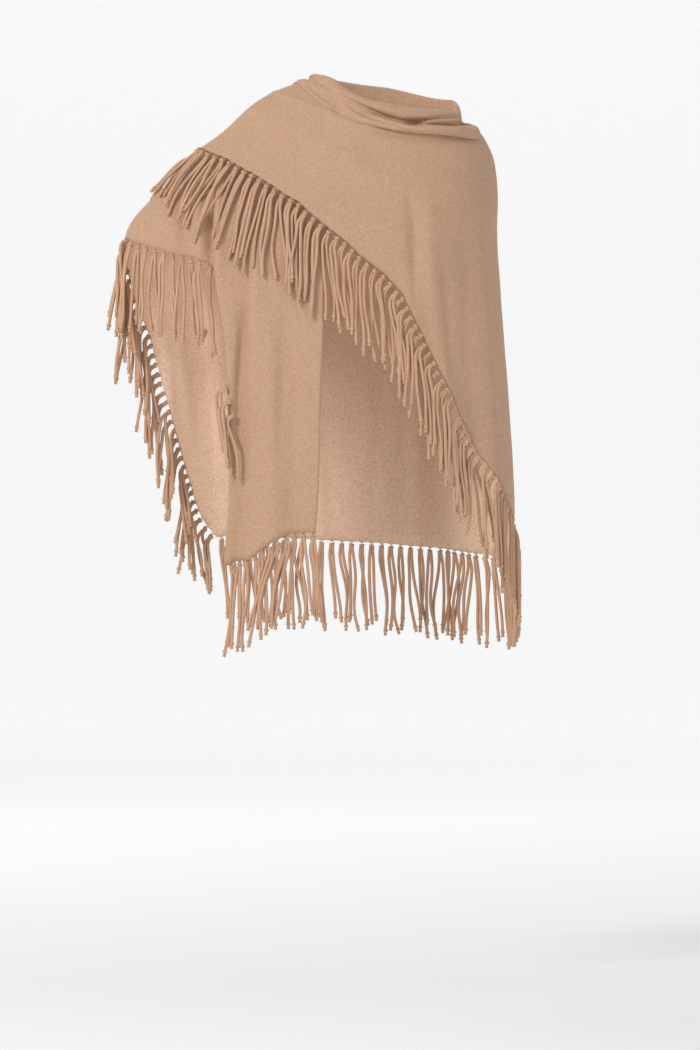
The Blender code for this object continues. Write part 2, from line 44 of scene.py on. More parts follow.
# The drape: rings from the neck down past the hem. A place on it is a turn (degrees: 0 at +X,
# 90 behind, 180 or -180 at -X, -90 in front) and a ring number. The knitted sheet winds round
# it once and a half: the turn runs from 256 at the front slit down to -278 at the thrown end.
drape = {
    "layer": 0.010,  # how far the thrown front lies above the layer under it
    "wrapTurn": 70.0,  # the turn over which it rises to that layer
    "highestTurn": 60.0,  # where one turn round the neck starts, counted down
    "neckRings": (0.0, 2.0),  # rings between which the sides' slope becomes a curve
    "ringHalvings": 22,  # of a span, until a ring or a turn in the front view is found
    "turnHalvings": 20,
    "columns": ("leftX", "leftZ", "frontY", "frontZ", "rightX", "rightZ", "backY", "backZ", "pinch"),
    "rings": (
        (-0.118, 0.050, -0.080, 0.000, 0.106, 0.008, 0.078, 0.040, 0.00),
        (-0.165, 0.036, -0.100, -0.028, 0.126, -0.012, 0.095, 0.015, 0.05),
        (-0.213, 0.010, -0.112, -0.058, 0.155, -0.026, 0.108, -0.018, 0.15),
        (-0.262, -0.034, -0.121, -0.090, 0.173, -0.054, 0.119, -0.054, 0.25),
        (-0.318, -0.076, -0.128, -0.122, 0.182, -0.084, 0.128, -0.096, 0.35),
        (-0.385, -0.136, -0.133, -0.160, 0.1865, -0.130, 0.135, -0.146, 0.38),
        (-0.429, -0.200, -0.136, -0.208, 0.185, -0.200, 0.140, -0.206, 0.35),
        (-0.420, -0.300, -0.138, -0.300, 0.191, -0.300, 0.144, -0.300, 0.27),
        (-0.402, -0.370, -0.140, -0.370, 0.196, -0.370, 0.147, -0.370, 0.23),
        (-0.394, -0.450, -0.143, -0.450, 0.202, -0.450, 0.150, -0.450, 0.20),
        (-0.388, -0.620, -0.150, -0.620, 0.213, -0.620, 0.158, -0.620, 0.15),
        (-0.400, -0.750, -0.155, -0.750, 0.212, -0.750, 0.163, -0.750, 0.12),
        (-0.400, -0.930, -0.158, -0.930, 0.212, -0.930, 0.168, -0.930, 0.12),
    ),
    # each fold: its turn at the first and at the last ring, half width in degrees, depth, and
    # the rings where it starts and is full
    "folds": (
        (26.0, 22.0, 7.0, 0.010, 3.0, 9.5),
        (45.0, 44.0, 6.0, -0.009, 3.5, 10.0),
        (62.0, 66.0, 7.0, 0.014, 3.0, 10.0),
        (86.0, 88.0, 8.0, -0.011, 4.0, 10.0),
        (104.0, 110.0, 7.0, 0.015, 3.5, 10.0),
        (124.0, 127.0, 6.0, -0.012, 4.0, 10.0),
        (140.0, 143.0, 6.0, 0.012, 4.0, 9.5),
        (158.0, 157.0, 5.0, -0.008, 5.0, 9.0),
        (-34.0, -34.0, 6.0, 0.006, 5.0, 8.0),
        (-48.0, -48.0, 6.0, -0.004, 5.0, 8.0),
        (-62.0, -62.0, 6.0, 0.005, 5.0, 7.5),
        (-76.0, -76.0, 5.0, 0.004, 5.5, 7.5),
        (-121.0, -128.0, 2.4, -0.008, 5.5, 8.0),
        (-117.5, -118.5, 3.2, 0.007, 6.0, 9.0),
        (-112.0, -112.5, 2.6, -0.005, 6.5, 10.0),
    ),
}


lastRing = len(drape["rings"]) - 1.0


def within(turn, highest):
    # the same turn, counted within one turn down from the highest
    return (turn - highest) % 360.0 + highest - 360.0


def readOff(table, at):
    # the value at a place in a table of (place, value) rows
    places, values = zip(*table)
    return float(np.interp(at, places, values))


def smoothStep(low, high, value):
    share = min(max((value - low) / (high - low), 0.0), 1.0)
    return share * share * (3.0 - 2.0 * share)


def halve(low, high, isLow, halvings):
    # the value in a span past which isLow is no longer true
    for _ in range(halvings):
        middle = (low + high) / 2.0
        if isLow(middle):
            low = middle
        else:
            high = middle
    return (low + high) / 2.0


def ringAt(number):
    # the values of a ring, or of one between two rings along a smooth curve
    rings = drape["rings"]
    number = min(max(number, 0.0), lastRing)
    row = min(int(number), len(rings) - 2)
    share = number - row
    values = []
    for a, b, c, d in zip(
        rings[max(row - 1, 0)], rings[row], rings[row + 1], rings[min(row + 2, len(rings) - 1)]
    ):
        slopeB = (c - a) / 2.0
        slopeC = (d - b) / 2.0
        cubic = slopeB + slopeC - 2.0 * (c - b)
        square = 3.0 * (c - b) - 2.0 * slopeB - slopeC
        values.append(b + share * (slopeB + share * (square + share * cubic)))
    return dict(zip(drape["columns"], values))


def foldHeight(turn, number):
    height = 0.0
    along = number / lastRing
    for top, low, width, depth, start, full in drape["folds"]:
        away = within(turn - top - (low - top) * along, 180.0)
        if abs(away) < 3.0 * width and number > start:
            height += depth * smoothStep(start, full, number) * math.exp(-((away / width) ** 2))
    return height


def smoothPlace(turn, number):
    # a point of the drape without its folds
    ring = ringAt(number)
    across = math.cos(math.radians(turn))
    along = math.sin(math.radians(turn))
    left = across < 0.0
    reach = -ring["leftX"] if left else ring["rightX"]
    depth = ring["backY"] if along > 0.0 else -ring["frontY"]
    sideZ = ring["leftZ"] if left else ring["rightZ"]
    middleZ = ring["backZ"] if along > 0.0 else ring["frontZ"]
    weight = abs(across) ** (1.0 + smoothStep(*drape["neckRings"], number))
    if left:
        depth *= 1.0 - ring["pinch"] * across * across
    return Vector((reach * across, depth * along, sideZ * weight + middleZ * (1.0 - weight)))


def outward(turn, number):
    turnProbe, ringProbe = 1.0, 0.1
    stepTurn = smoothPlace(turn + turnProbe, number) - smoothPlace(turn - turnProbe, number)
    low = max(number - ringProbe, 0.0)
    stepDown = smoothPlace(turn, low + 2.0 * ringProbe) - smoothPlace(turn, low)
    return stepDown.cross(stepTurn).normalized()


def place(turn, number, height=0.0):
    return smoothPlace(turn, number) + outward(turn, number) * (height + foldHeight(turn, number))


def layerHeight(turn):
    return drape["layer"] * smoothStep(0.0, drape["wrapTurn"], -turn)


def ringForHeight(turn, z, height):
    return halve(0.0, lastRing, lambda number: place(turn, number, height).z > z, drape["ringHalvings"])


def placeInView(x, z, turns, height):
    # the turn and ring whose point shows at x, z from the front, between two turns
    def xAt(turn):
        return place(turn, ringForHeight(turn, z, height), height).x

    rising = xAt(turns[1]) > xAt(turns[0])
    turn = halve(*turns, lambda turn: (xAt(turn) > x) != rising, drape["turnHalvings"])
    return turn, ringForHeight(turn, z, height)


def located(points, turns, height):
    return [placeInView(x, z, turns, height) for x, z in points]


# The sheet's outline, as places in the front view (x, z) or as (turn, z).
outline = {
    "sideCorner": (14.0, -0.735),
    "leftHip": (0.0, -0.690),
    "diagonal": (
        (0.205, -0.647), (0.179, -0.594), (0.152, -0.561), (0.120, -0.4965), (0.0875, -0.424),
        (0.0545, -0.353), (0.028, -0.300), (-0.003, -0.267), (-0.043, -0.236), (-0.096, -0.190),
        (-0.140, -0.150), (-0.1865, -0.120), (-0.219, -0.099), (-0.262, -0.073),
    ),
    "diagonalTop": (-180.0, -0.052),
    "thrownSide": ((-0.290, -0.120), (-0.250, -0.250), (-0.205, -0.380), (-0.165, -0.470)),
    "thrownHem": ((-0.100, -0.435), (-0.030, -0.375), (0.030, -0.320)),
    "elbow": (180.0, -0.199),
    "armEdge": ((-0.404, -0.213), (-0.376, -0.223), (-0.338, -0.233), (-0.312, -0.239), (-0.2815, -0.254)),
    "backSide": (
        (-0.398, -0.343), (-0.381, -0.401), (-0.368, -0.450), (-0.353, -0.503), (-0.338, -0.564),
        (-0.323, -0.615), (-0.305, -0.668), (-0.282, -0.698),
    ),
    "backHem": ((-0.240, -0.692), (-0.150, -0.700), (0.000, -0.708), (0.120, -0.720)),
    "frontHem": (
        (-0.264, -0.747), (-0.2425, -0.736), (-0.2195, -0.733), (-0.201, -0.716), (-0.173, -0.700),
        (-0.1535, -0.691), (-0.114, -0.690),
    ),
    "panelSide": -131.0,  # the turn of the front panel's turned-under side
    "slitTurns": (-102.8, -107.0),  # of the slit's edge at the two rings below
    "slitRings": (6.0, 10.5),
    "frontTurns": (-180.0, -1.0),
    "backTurns": (1.0, 179.5),
    "thrownTurns": (-300.0, -181.0),
    "topRing": 0.9,
    "rollLine": (
        (-0.135, 0.044), (-0.122, 0.031), (-0.108, 0.017), (-0.092, 0.0035), (-0.056, -0.0115),
        (-0.0165, -0.025), (0.013, -0.033), (0.043, -0.036), (0.0825, -0.038), (0.124, -0.040),
        (0.153, -0.040),
    ),
    "rollTip": (-177.0, 0.55),  # turn and ring where the roll's fold line starts at the shoulder
    "rollRingBehind": 1.1,
    "rollBehindTurns": (-215.0, 20.0),
}


def buildEdges():
    # every edge of the sheet as (turn, ring) places, and the roll's fold line
    top = layerHeight(-180.0)
    frontTurns = outline["frontTurns"]

    def sidePlace(name, height):
        turn, z = outline[name]
        return turn, ringForHeight(turn, z, height)

    corner = sidePlace("sideCorner", 0.0)
    side = sidePlace("leftHip", 0.0)
    shoulder = sidePlace("diagonalTop", top)
    elbow = sidePlace("elbow", 0.0)
    diagonal = [side]
    for x, z in outline["diagonal"]:
        guess = placeInView(x, z, frontTurns, top)
        diagonal.append(placeInView(x, z, frontTurns, layerHeight(guess[0])))
    diagonal.append(shoulder)
    thrownSide = [shoulder, *located(outline["thrownSide"], outline["thrownTurns"], top)]
    thrownHem = [thrownSide[-1], *located(outline["thrownHem"], outline["thrownTurns"], top)]
    backSide = [elbow, *located(outline["backSide"], outline["backTurns"], 0.0)]
    backHem = [backSide[-1], *located(outline["backHem"], outline["backTurns"], 0.0), corner]
    arm = [(-180.0, elbow[1]), *located(outline["armEdge"], frontTurns, 0.0)]
    arm[-1] = (outline["panelSide"], arm[-1][1])
    return {
        "frontHem": located(outline["frontHem"], frontTurns, 0.0),
        "arm": arm,
        "backSide": backSide,
        "backHem": backHem,
        "side": [corner, side],
        "diagonal": diagonal,
        "thrownSide": thrownSide,
        "thrownHem": thrownHem,
        "rollLine": sorted(located(outline["rollLine"], frontTurns, top)),
    }


def evenlyAlong(edge, thrown):
    # places evenly spaced by length along an edge of (turn, ring) rows, a few for each knot;
    # thrown says whether the edge belongs to the outer layer
    fine = []
    for (turnA, ringA), (turnB, ringB) in zip(edge, edge[1:]):
        for step in range(cape["finePerSpan"]):
            share = step / cape["finePerSpan"]
            fine.append((turnA + (turnB - turnA) * share, ringA + (ringB - ringA) * share))
    fine.append(edge[-1])
    points = [place(turn, ring, layerHeight(turn) if thrown else 0.0) for turn, ring in fine]
    lengths = [0.0]
    for a, b in zip(points, points[1:]):
        lengths.append(lengths[-1] + (b - a).length)
    knots = max(2, round(lengths[-1] / cape["knotPitch"]))
    count = knots * cape["columnsPerKnot"]
    wanted = [lengths[-1] * i / count for i in range(count + 1)]
    turns = np.interp(wanted, lengths, [turn for turn, _ in fine])
    rings = np.interp(wanted, lengths, [ring for _, ring in fine])
    return list(zip(turns.tolist(), rings.tolist()))


edges = buildEdges()
print("edges found")


def rollRing(turn):
    # the ring of the roll's fold line at a turn
    behind, front = outline["rollBehindTurns"]
    ringBehind = outline["rollRingBehind"]
    line = [(behind, ringBehind), outline["rollTip"], *edges["rollLine"], (front, ringBehind)]
    return readOff(sorted(line), within(turn, front))


knitLook = {
    "wale": 0.00125,  # width of a column of stitches
    "course": 0.00095,  # height of a row of stitches
    "stitchBump": 0.35,
    "stitchDepth": 0.0004,
    "fuzzBump": 0.25,
    "fuzzDepth": 0.0006,
    # scale, detail and roughness of the specks, of the clouds and of the slow change of tone
    "speck": (760.0, 2.0, 0.7),
    "cloud": (250.0, 3.0, 0.6),
    "tone": (9.0, 2.0, 0.5),
    "speckRange": (0.32, 0.68),
    "cloudRange": (0.3, 0.7),
    "toneShare": 0.10,
    "pitShadeShare": 0.10,  # painted shade: how much darker it is between the stitches, and lighter on their tops
    "pitMiddle": 0.4,
    "glowLeft": 0.2,  # share of the painted glow that is left where it has faded
    "surface": {
        "Roughness": 0.95, "Specular IOR Level": 0.15, "Sheen Roughness": 0.45,
        "Sheen Tint": (1.0, 0.82, 0.70, 1.0),
    },
}
cordLook = {
    "dark": (0.36, 0.206, 0.125),
    "light": (0.76, 0.484, 0.323),
    "squeeze": (1.0, 1.0, 0.16),  # draws the fibres out along the hanging cord
    "fibre": (1500.0, 2.0, 0.5),
    "speck": (500.0, 3.0, 0.6),
    "tone": (25.0, 1.0, 0.5),
    "speckShare": 0.5,
    "toneShare": 0.35,
    "darkest": 0.10,
    "fibreBump": 0.35,
    "fibreDepth": 0.0004,
    "surface": {
        "Roughness": 0.92, "Specular IOR Level": 0.18, "Sheen Weight": 0.12, "Sheen Roughness": 0.45,
        "Sheen Tint": (1.0, 0.84, 0.72, 1.0),
    },
}


def fill(tree, node, key, value):
    if isinstance(value, bpy.types.NodeSocket):
        tree.links.new(value, node.inputs[key])
    else:
        node.inputs[key].default_value = value


def nodeMaker(tree):
    def make(kind, inputs=None, **settings):
        node = tree.nodes.new(kind)
        for key, value in settings.items():
            setattr(node, key, value)
        for key, value in (inputs or {}).items():
            fill(tree, node, key, value)
        return node

    return make


def newMaterial(name):
    # a material, the function that makes its nodes, and one that fills its shader's sockets
    material = bpy.data.materials.new(name)
    material.use_nodes = True
    tree = material.node_tree
    shader = tree.nodes["Principled BSDF"]

    def finish(sockets):
        for key, value in sockets.items():
            fill(tree, shader, key, value)

    return material, nodeMaker(tree), finish


def mathNode(make, operation, *values):
    return make("ShaderNodeMath", dict(enumerate(values)), operation=operation).outputs[0]


def noiseNode(make, where, look):
    scale, detail, roughness = look
    sockets = {"Vector": where, "Scale": scale, "Detail": detail, "Roughness": roughness}
    return make("ShaderNodeTexNoise", sockets).outputs["Fac"]


def rangeNode(make, value, low, high, toLow=0.0, toHigh=1.0):
    return make("ShaderNodeMapRange", {0: value, 1: low, 2: high, 3: toLow, 4: toHigh}).outputs[0]


def mixColours(make, share, first, second):
    sockets = {0: share, 6: (*first, 1.0), 7: (*second, 1.0)}
    return make("ShaderNodeMix", sockets, data_type="RGBA").outputs[2]


def bumpNode(make, height, strength, depth, under=None):
    sockets = {"Strength": strength, "Distance": depth, "Height": height}
    if under is not None:
        sockets["Normal"] = under
    return make("ShaderNodeBump", sockets).outputs[0]


def knitMaterial(name, light, dark, speckle, sheen, mottle, glow=None):
    # glow: painted light, an emission standing in for the light that comes through the knit, and the x
    # between which it fades
    material, make, finish = newMaterial(name)
    uv = make("ShaderNodeUVMap", uv_map="cloth").outputs["UV"]
    parts = make("ShaderNodeSeparateXYZ", {0: uv})
    wale = mathNode(make, "DIVIDE", parts.outputs["X"], knitLook["wale"])
    course = mathNode(make, "DIVIDE", parts.outputs["Y"], knitLook["course"])
    inWale = mathNode(make, "FRACT", wale)
    fromMiddle = mathNode(make, "ABSOLUTE", mathNode(make, "SUBTRACT", inWale, 0.5))
    slanted = mathNode(make, "FRACT", mathNode(make, "ADD", course, fromMiddle))
    loop = mathNode(make, "SINE", mathNode(make, "MULTIPLY", slanted, math.pi))
    leg = mathNode(make, "SINE", mathNode(make, "MULTIPLY", fromMiddle, 2.0 * math.pi))
    stitch = mathNode(make, "MULTIPLY", loop, leg)

    where = make("ShaderNodeTexCoord").outputs["Object"]
    cloud = noiseNode(make, where, knitLook["cloud"])
    speckShade = rangeNode(make, noiseNode(make, where, knitLook["speck"]), *knitLook["speckRange"])
    cloudShade = rangeNode(make, cloud, *knitLook["cloudRange"])
    grain = make("ShaderNodeMix", {0: mottle, 2: speckShade, 3: cloudShade}, data_type="FLOAT").outputs[0]
    tone = mathNode(make, "MULTIPLY", noiseNode(make, uv, knitLook["tone"]), knitLook["toneShare"])
    shade = mathNode(make, "MULTIPLY_ADD", grain, speckle, 0.5 - speckle / 2.0)
    shade = mathNode(make, "ADD", shade, tone)
    # painted shade in the hollows between the stitches, following their relief
    pitShade = mathNode(make, "SUBTRACT", stitch, knitLook["pitMiddle"])
    shade = mathNode(make, "ADD", shade, mathNode(make, "MULTIPLY", pitShade, knitLook["pitShadeShare"]))
    colour = mixColours(make, shade, dark, light)
    fuzz = bumpNode(make, cloud, knitLook["fuzzBump"], knitLook["fuzzDepth"])
    bump = bumpNode(make, stitch, knitLook["stitchBump"], knitLook["stitchDepth"], fuzz)
    finish({"Base Color": colour, "Normal": bump, "Sheen Weight": sheen, **knitLook["surface"]})
    if glow:
        # painted light: the inside glows in its own colour, fully at low x and faintly past the fade
        strength, full, faded = glow
        across = make("ShaderNodeSeparateXYZ", {0: where}).outputs["X"]
        through = rangeNode(make, across, full, faded, strength, strength * knitLook["glowLeft"])
        finish({"Emission Color": colour, "Emission Strength": through})
    return material


def cordMaterial():
    material, make, finish = newMaterial("rolledCord")
    where = make("ShaderNodeTexCoord").outputs["Object"]
    drawn = make("ShaderNodeMapping", {"Vector": where, "Scale": cordLook["squeeze"]}).outputs[0]
    speck = noiseNode(make, where, cordLook["speck"])
    tone = mathNode(make, "MULTIPLY", noiseNode(make, where, cordLook["tone"]), cordLook["toneShare"])
    shade = mathNode(make, "MULTIPLY_ADD", speck, cordLook["speckShare"], cordLook["darkest"])
    shade = mathNode(make, "ADD", shade, tone)
    fibre = noiseNode(make, drawn, cordLook["fibre"])
    finish({
        "Base Color": mixColours(make, shade, cordLook["dark"], cordLook["light"]),
        "Normal": bumpNode(make, fibre, cordLook["fibreBump"], cordLook["fibreDepth"]),
        **cordLook["surface"],
    })
    return material


# light and dark shade, how strong the speckle is, sheen, and the share of clouds among the specks
knitFace = knitMaterial("camelKnitFace", (0.66, 0.424, 0.282), (0.40, 0.241, 0.152), 1.10, 0.28, 0.30)
# the inside also carries a painted glow for the light that comes through the knit
knitInside = knitMaterial(
    "camelKnitInside", (0.84, 0.610, 0.450), (0.50, 0.328, 0.222), 1.00, 0.35, 0.50, (0.33, -0.31, -0.245)
)
rolledCord = cordMaterial()
print("materials made")

cape = {
    "name": "knittedSheet",
    "wall": 0.002,
    "knotPitch": 0.0165,
    "columnsPerKnot": 4,
    "finePerSpan": 24,  # steps between two points of an edge, to measure along it
    "rows": 58,
    "panelRows": 38,
    "denser": 0.05,  # how much closer the rows lie towards the lower edges
    "underRoll": 0.30,  # rings by which the sheet reaches in under the roll
    "topLimit": 0.3,  # the highest ring that it may reach there
    "topFade": 20.0,  # degrees past the left side over which it leaves the roll for the top ring
    "scallop": 0.0016,  # how far a knot draws the edge out
    "unevenness": 0.0012,
    "waves": ((9.0, 1.0), (21.0, 0.5)),  # waves a metre and share of the unevenness
    # where the top edge of the thrown front lies over the roll, as turns: starts, full, fades, ends
    "overRoll": (-128.0, -119.0, -106.0, -92.0),
    "edgeRounding": 0.006,  # how far that edge turns in, over so many rings
    "roundingRings": 0.22,
    "creaseFade": 0.6,  # the smaller, the longer a crease keeps its depth
    "creaseEnd": 0.02,  # share of its length that is as soft as its very end
}

# Creases of the outer layer ("wrap") or the one under it ("under"): layer, half width, depth, and
# a route of x and z in the front view.
creases = (
    ("wrap", 0.010, -0.0062, ((0.040, -0.140), (0.0454, -0.1815), (0.0479, -0.256), (0.0495, -0.322))),
    ("wrap", 0.014, 0.0050, ((0.072, -0.140), (0.074, -0.190), (0.074, -0.256), (0.079, -0.360))),
    ("wrap", 0.012, -0.0062, ((0.092, -0.240), (0.099, -0.289), (0.107, -0.388), (0.122, -0.470))),
    ("wrap", 0.015, 0.0030, ((0.140, -0.280), (0.147, -0.380), (0.158, -0.500))),
    ("wrap", 0.0055, 0.0035, (
        (-0.200, 0.044), (-0.173, 0.033), (-0.155, 0.025), (-0.135, 0.0157), (-0.1155, 0.009),
        (-0.096, 0.0026), (-0.076, -0.005), (-0.054, -0.013), (-0.020, -0.026),
    )),
    ("wrap", 0.0070, -0.0045, (
        (-0.030, -0.031), (0.0195, -0.0385), (0.083, -0.0445), (0.150, -0.044), (0.170, -0.042),
    )),
    ("wrap", 0.022, 0.0030, ((-0.210, 0.000), (-0.150, -0.035), (-0.080, -0.075), (0.000, -0.110))),
    ("wrap", 0.024, -0.0030, ((-0.235, -0.030), (-0.170, -0.070), (-0.100, -0.120), (-0.020, -0.165))),
    ("wrap", 0.020, -0.0025, ((0.120, -0.060), (0.060, -0.085), (0.000, -0.082), (-0.060, -0.060))),
    ("under", 0.0070, -0.0160, ((-0.290, -0.080), (-0.290, -0.170), (-0.288, -0.275))),
    ("under", 0.0075, 0.0065, ((-0.275, -0.085), (-0.275, -0.170), (-0.273, -0.290))),
    ("under", 0.011, -0.0070, ((-0.335, -0.115), (-0.332, -0.180), (-0.327, -0.250))),
    ("under", 0.012, 0.0035, ((-0.308, -0.115), (-0.307, -0.180), (-0.305, -0.250))),
    ("under", 0.0055, -0.0085, ((-0.2245, -0.185), (-0.231, -0.322), (-0.240, -0.437), (-0.246, -0.620))),
    ("under", 0.010, 0.0045, ((-0.2065, -0.200), (-0.213, -0.371), (-0.224, -0.620))),
    ("under", 0.011, -0.0040, ((-0.170, -0.330), (-0.168, -0.450), (-0.176, -0.600))),
    ("under", 0.012, 0.0020, ((-0.140, -0.330), (-0.138, -0.480), (-0.140, -0.640))),
)
# the same for the far side
creasesBehind = (
    ("wrap", 0.016, 0.0085, ((-0.180, 0.010), (-0.150, -0.140), (-0.120, -0.300), (-0.105, -0.440))),
    ("wrap", 0.013, -0.0050, ((-0.130, 0.010), (-0.105, -0.140), (-0.075, -0.290), (-0.060, -0.420))),
    ("wrap", 0.018, 0.0080, ((-0.080, 0.000), (-0.055, -0.120), (-0.020, -0.320))),
    ("wrap", 0.014, -0.0050, ((-0.225, -0.030), (-0.215, -0.170), (-0.190, -0.360))),
    ("under", 0.016, 0.0080, ((0.125, -0.010), (0.100, -0.200), (0.092, -0.420), (0.095, -0.720))),
    ("under", 0.014, -0.0080, ((0.095, -0.040), (0.065, -0.240), (0.052, -0.470), (0.050, -0.740))),
    ("under", 0.015, -0.0075, ((0.160, -0.100), (0.140, -0.330), (0.132, -0.700))),
    ("under", 0.018, 0.0070, ((0.000, -0.380), (-0.010, -0.520), (-0.020, -0.760))),
    ("under", 0.016, -0.0070, ((-0.120, -0.500), (-0.110, -0.600), (-0.105, -0.760))),
    ("under", 0.016, 0.0075, ((-0.330, -0.180), (-0.300, -0.380), (-0.275, -0.680))),
    ("under", 0.012, -0.0060, ((-0.370, -0.200), (-0.345, -0.380), (-0.315, -0.600))),
)


def distanceToRoute(points, route):
    # distance in the front view from each point to a route, and how far along it that is (0 to 1)
    flat = points[:, (0, 2)]
    best = np.full(len(points), np.inf)
    share = np.zeros(len(points))
    spans = [math.dist(a, b) for a, b in zip(route, route[1:])]
    whole = sum(spans)
    before = 0.0
    for start, end, span in zip(route, route[1:], spans):
        line = np.subtract(end, start)
        t = np.clip(((flat - start) @ line) / (line @ line), 0.0, 1.0)
        gap = np.linalg.norm(flat - start - t[:, None] * line, axis=1)
        nearer = gap < best
        best[nearer] = gap[nearer]
        share[nearer] = (before + t[nearer] * span) / whole
        before += span
    return best, share


def pressCreases(points, normals, table, chosen):
    # moves the chosen points along their normals, fading to nothing at both ends of a crease
    moved = points.copy()
    end = cape["creaseEnd"]
    for layer, width, depth, route in table:
        gap, share = distanceToRoute(points, route)
        fade = np.sin(np.pi * np.clip(share, end, 1.0 - end)) ** cape["creaseFade"]
        push = depth * np.exp(-((gap / width) ** 2)) * fade * chosen[layer]
        moved += normals * push[:, None]
    return moved


def gridNormals(grid):
    # unit normals of a grid of points, one way or the other
    normal = np.cross(np.gradient(grid, axis=1), np.gradient(grid, axis=0))
    length = np.linalg.norm(normal, axis=2, keepdims=True)
    return normal / np.maximum(length, 1e-12)


def lengthsAlong(grid, axis):
    # how far along the cloth each point of a grid lies from the first of its row or column
    steps = np.linalg.norm(np.diff(grid, axis=axis), axis=2)
    start = np.zeros_like(np.take(steps, [0], axis=axis))
    return np.concatenate([start, np.cumsum(steps, axis=axis)], axis=axis)


def growRow(work, edges, step):
    # extrudes a row of edges by a step and gives the new row
    grown = bmesh.ops.extrude_edge_only(work, edges=edges)["geom"]
    fresh = [item for item in grown if isinstance(item, bmesh.types.BMVert)]
    bmesh.ops.translate(work, verts=fresh, vec=step)
    new = set(fresh)
    return [item for item in grown if isinstance(item, bmesh.types.BMEdge) and new.issuperset(item.verts)]


def layOut(work, spots, grid, normals):
    # moves the vertices to their spots of the grid, with the cloth laid out flat in its UV map,
    # in metres, and turns the faces the way of the normals; gives the area
    across, down = lengthsAlong(grid, 1), lengthsAlong(grid, 0)
    flat = work.loops.layers.uv.new("cloth")
    for face in work.faces:
        ats = [spots[loop.vert][1] for loop in face.loops]
        closing = max(ats) - min(ats) > 1  # the last face of a ring ends at its first column
        for loop, at in zip(face.loops, ats):
            row = spots[loop.vert][0]
            at = -1 if closing and at == 0 else at
            loop[flat].uv = (across[row, at], down[row, at])
    for vert, spot in spots.items():
        vert.co = Vector(grid[spot])
    work.normal_update()
    work.faces.ensure_lookup_table()
    probe = work.faces[0]
    if probe.normal.dot(Vector(normals[spots[probe.verts[0]]])) < 0.0:
        bmesh.ops.reverse_faces(work, faces=work.faces)
    return sum(face.calc_area() for face in work.faces)


def finishObject(name, work, materials, wall=None):
    # a bmesh made an object at the origin, with a wall's thickness to both sides of it
    mesh = bpy.data.meshes.new(name)
    work.to_mesh(mesh)
    work.free()
    for material in materials:
        mesh.materials.append(material)
    mesh.shade_smooth()
    made = bpy.data.objects.new(name, mesh)
    bpy.context.scene.collection.objects.link(made)
    if wall:
        solid = made.modifiers.new("thickness", "SOLIDIFY")
        solid.thickness = wall
        solid.offset = 0.0
        solid.material_offset = 1
        solid.material_offset_rim = 0
    return made


def fullness(turn, turns):
    start, full, fading, gone = turns
    return smoothStep(start, full, turn) * (1.0 - smoothStep(fading, gone, turn))


def overRoll(turn):
    return fullness(within(turn, drape["highestTurn"]), cape["overRoll"])


def topRingAt(turn):
    under = max(rollRing(turn) - cape["underRoll"] * (1.0 - overRoll(turn)), cape["topLimit"])
    blend = smoothStep(cape["topFade"], 0.0, turn)
    return outline["topRing"] * (1.0 - blend) + under * blend


def sheetColumns():
    # every column of the sheet in order, from the slit round: its edge, turn and lowest ring,
    # and for the front panel its share of the way from the panel's side to the slit
    hem = edges["frontHem"]
    first, last = hem[0][0], hem[-1][0]
    rows = [
        {"edge": "frontHem", "turn": turn + 360.0, "ring": ring, "share": (turn - first) / (last - first)}
        for turn, ring in reversed(evenlyAlong(hem, False))
    ]
    # the arm's last place lies on the panel's side, which has its column already
    for turn, ring in reversed(evenlyAlong(edges["arm"], False)[:-1]):
        rows.append({"edge": "arm", "turn": turn + 360.0, "ring": ring})
    for name, thrown in (
        ("backSide", False), ("backHem", False), ("side", False),
        ("diagonal", True), ("thrownSide", True), ("thrownHem", True),
    ):
        for turn, ring in evenlyAlong(edges[name], thrown)[1:]:
            rows.append({"edge": name, "turn": turn, "ring": ring})
    return rows


columns = sheetColumns()
panelCount = sum(column["edge"] == "frontHem" for column in columns)
armRing = edges["arm"][-1][1]
print("columns:", len(columns), "of the front panel:", panelCount)


def shareDown(row, rows):
    share = row / rows
    return share + cape["denser"] * share * (1.0 - share)


def panelTurn(column, number):
    # between the panel's side and the slit, drifting to the hem's own places lower down
    side, share = outline["panelSide"], column["share"]
    slit = float(np.interp(number, outline["slitRings"], outline["slitTurns"]))
    drift = column["turn"] - 360.0 - side - (outline["slitTurns"][1] - side) * share
    drift *= smoothStep(armRing, column["ring"], number) ** 2
    return side + (slit - side) * share + drift + 360.0


def sheetPlace(at, row):
    # turn, ring and height of a column at a row; rows past the last belong to the panel alone
    column = columns[at]
    rows, turn, lowest = cape["rows"], column["turn"], column["ring"]
    if column["edge"] == "frontHem":
        top = outline["topRing"]
        if row <= rows:
            number = top + (armRing - top) * shareDown(row, rows)
        else:
            number = armRing + (lowest - armRing) * shareDown(row - rows, cape["panelRows"])
        return panelTurn(column, number), number, 0.0
    top = topRingAt(turn)
    number = top + (lowest - top) * shareDown(row, rows)
    # the thrown front's top edge turns in over the roll, so that it shows as a soft fold
    rounding = cape["edgeRounding"] * max(1.0 - (number - top) / cape["roundingRings"], 0.0) ** 2
    return turn, number, layerHeight(turn) - overRoll(turn) * rounding


def lowestRow(at):
    return cape["rows"] + (cape["panelRows"] if at < panelCount else 0)


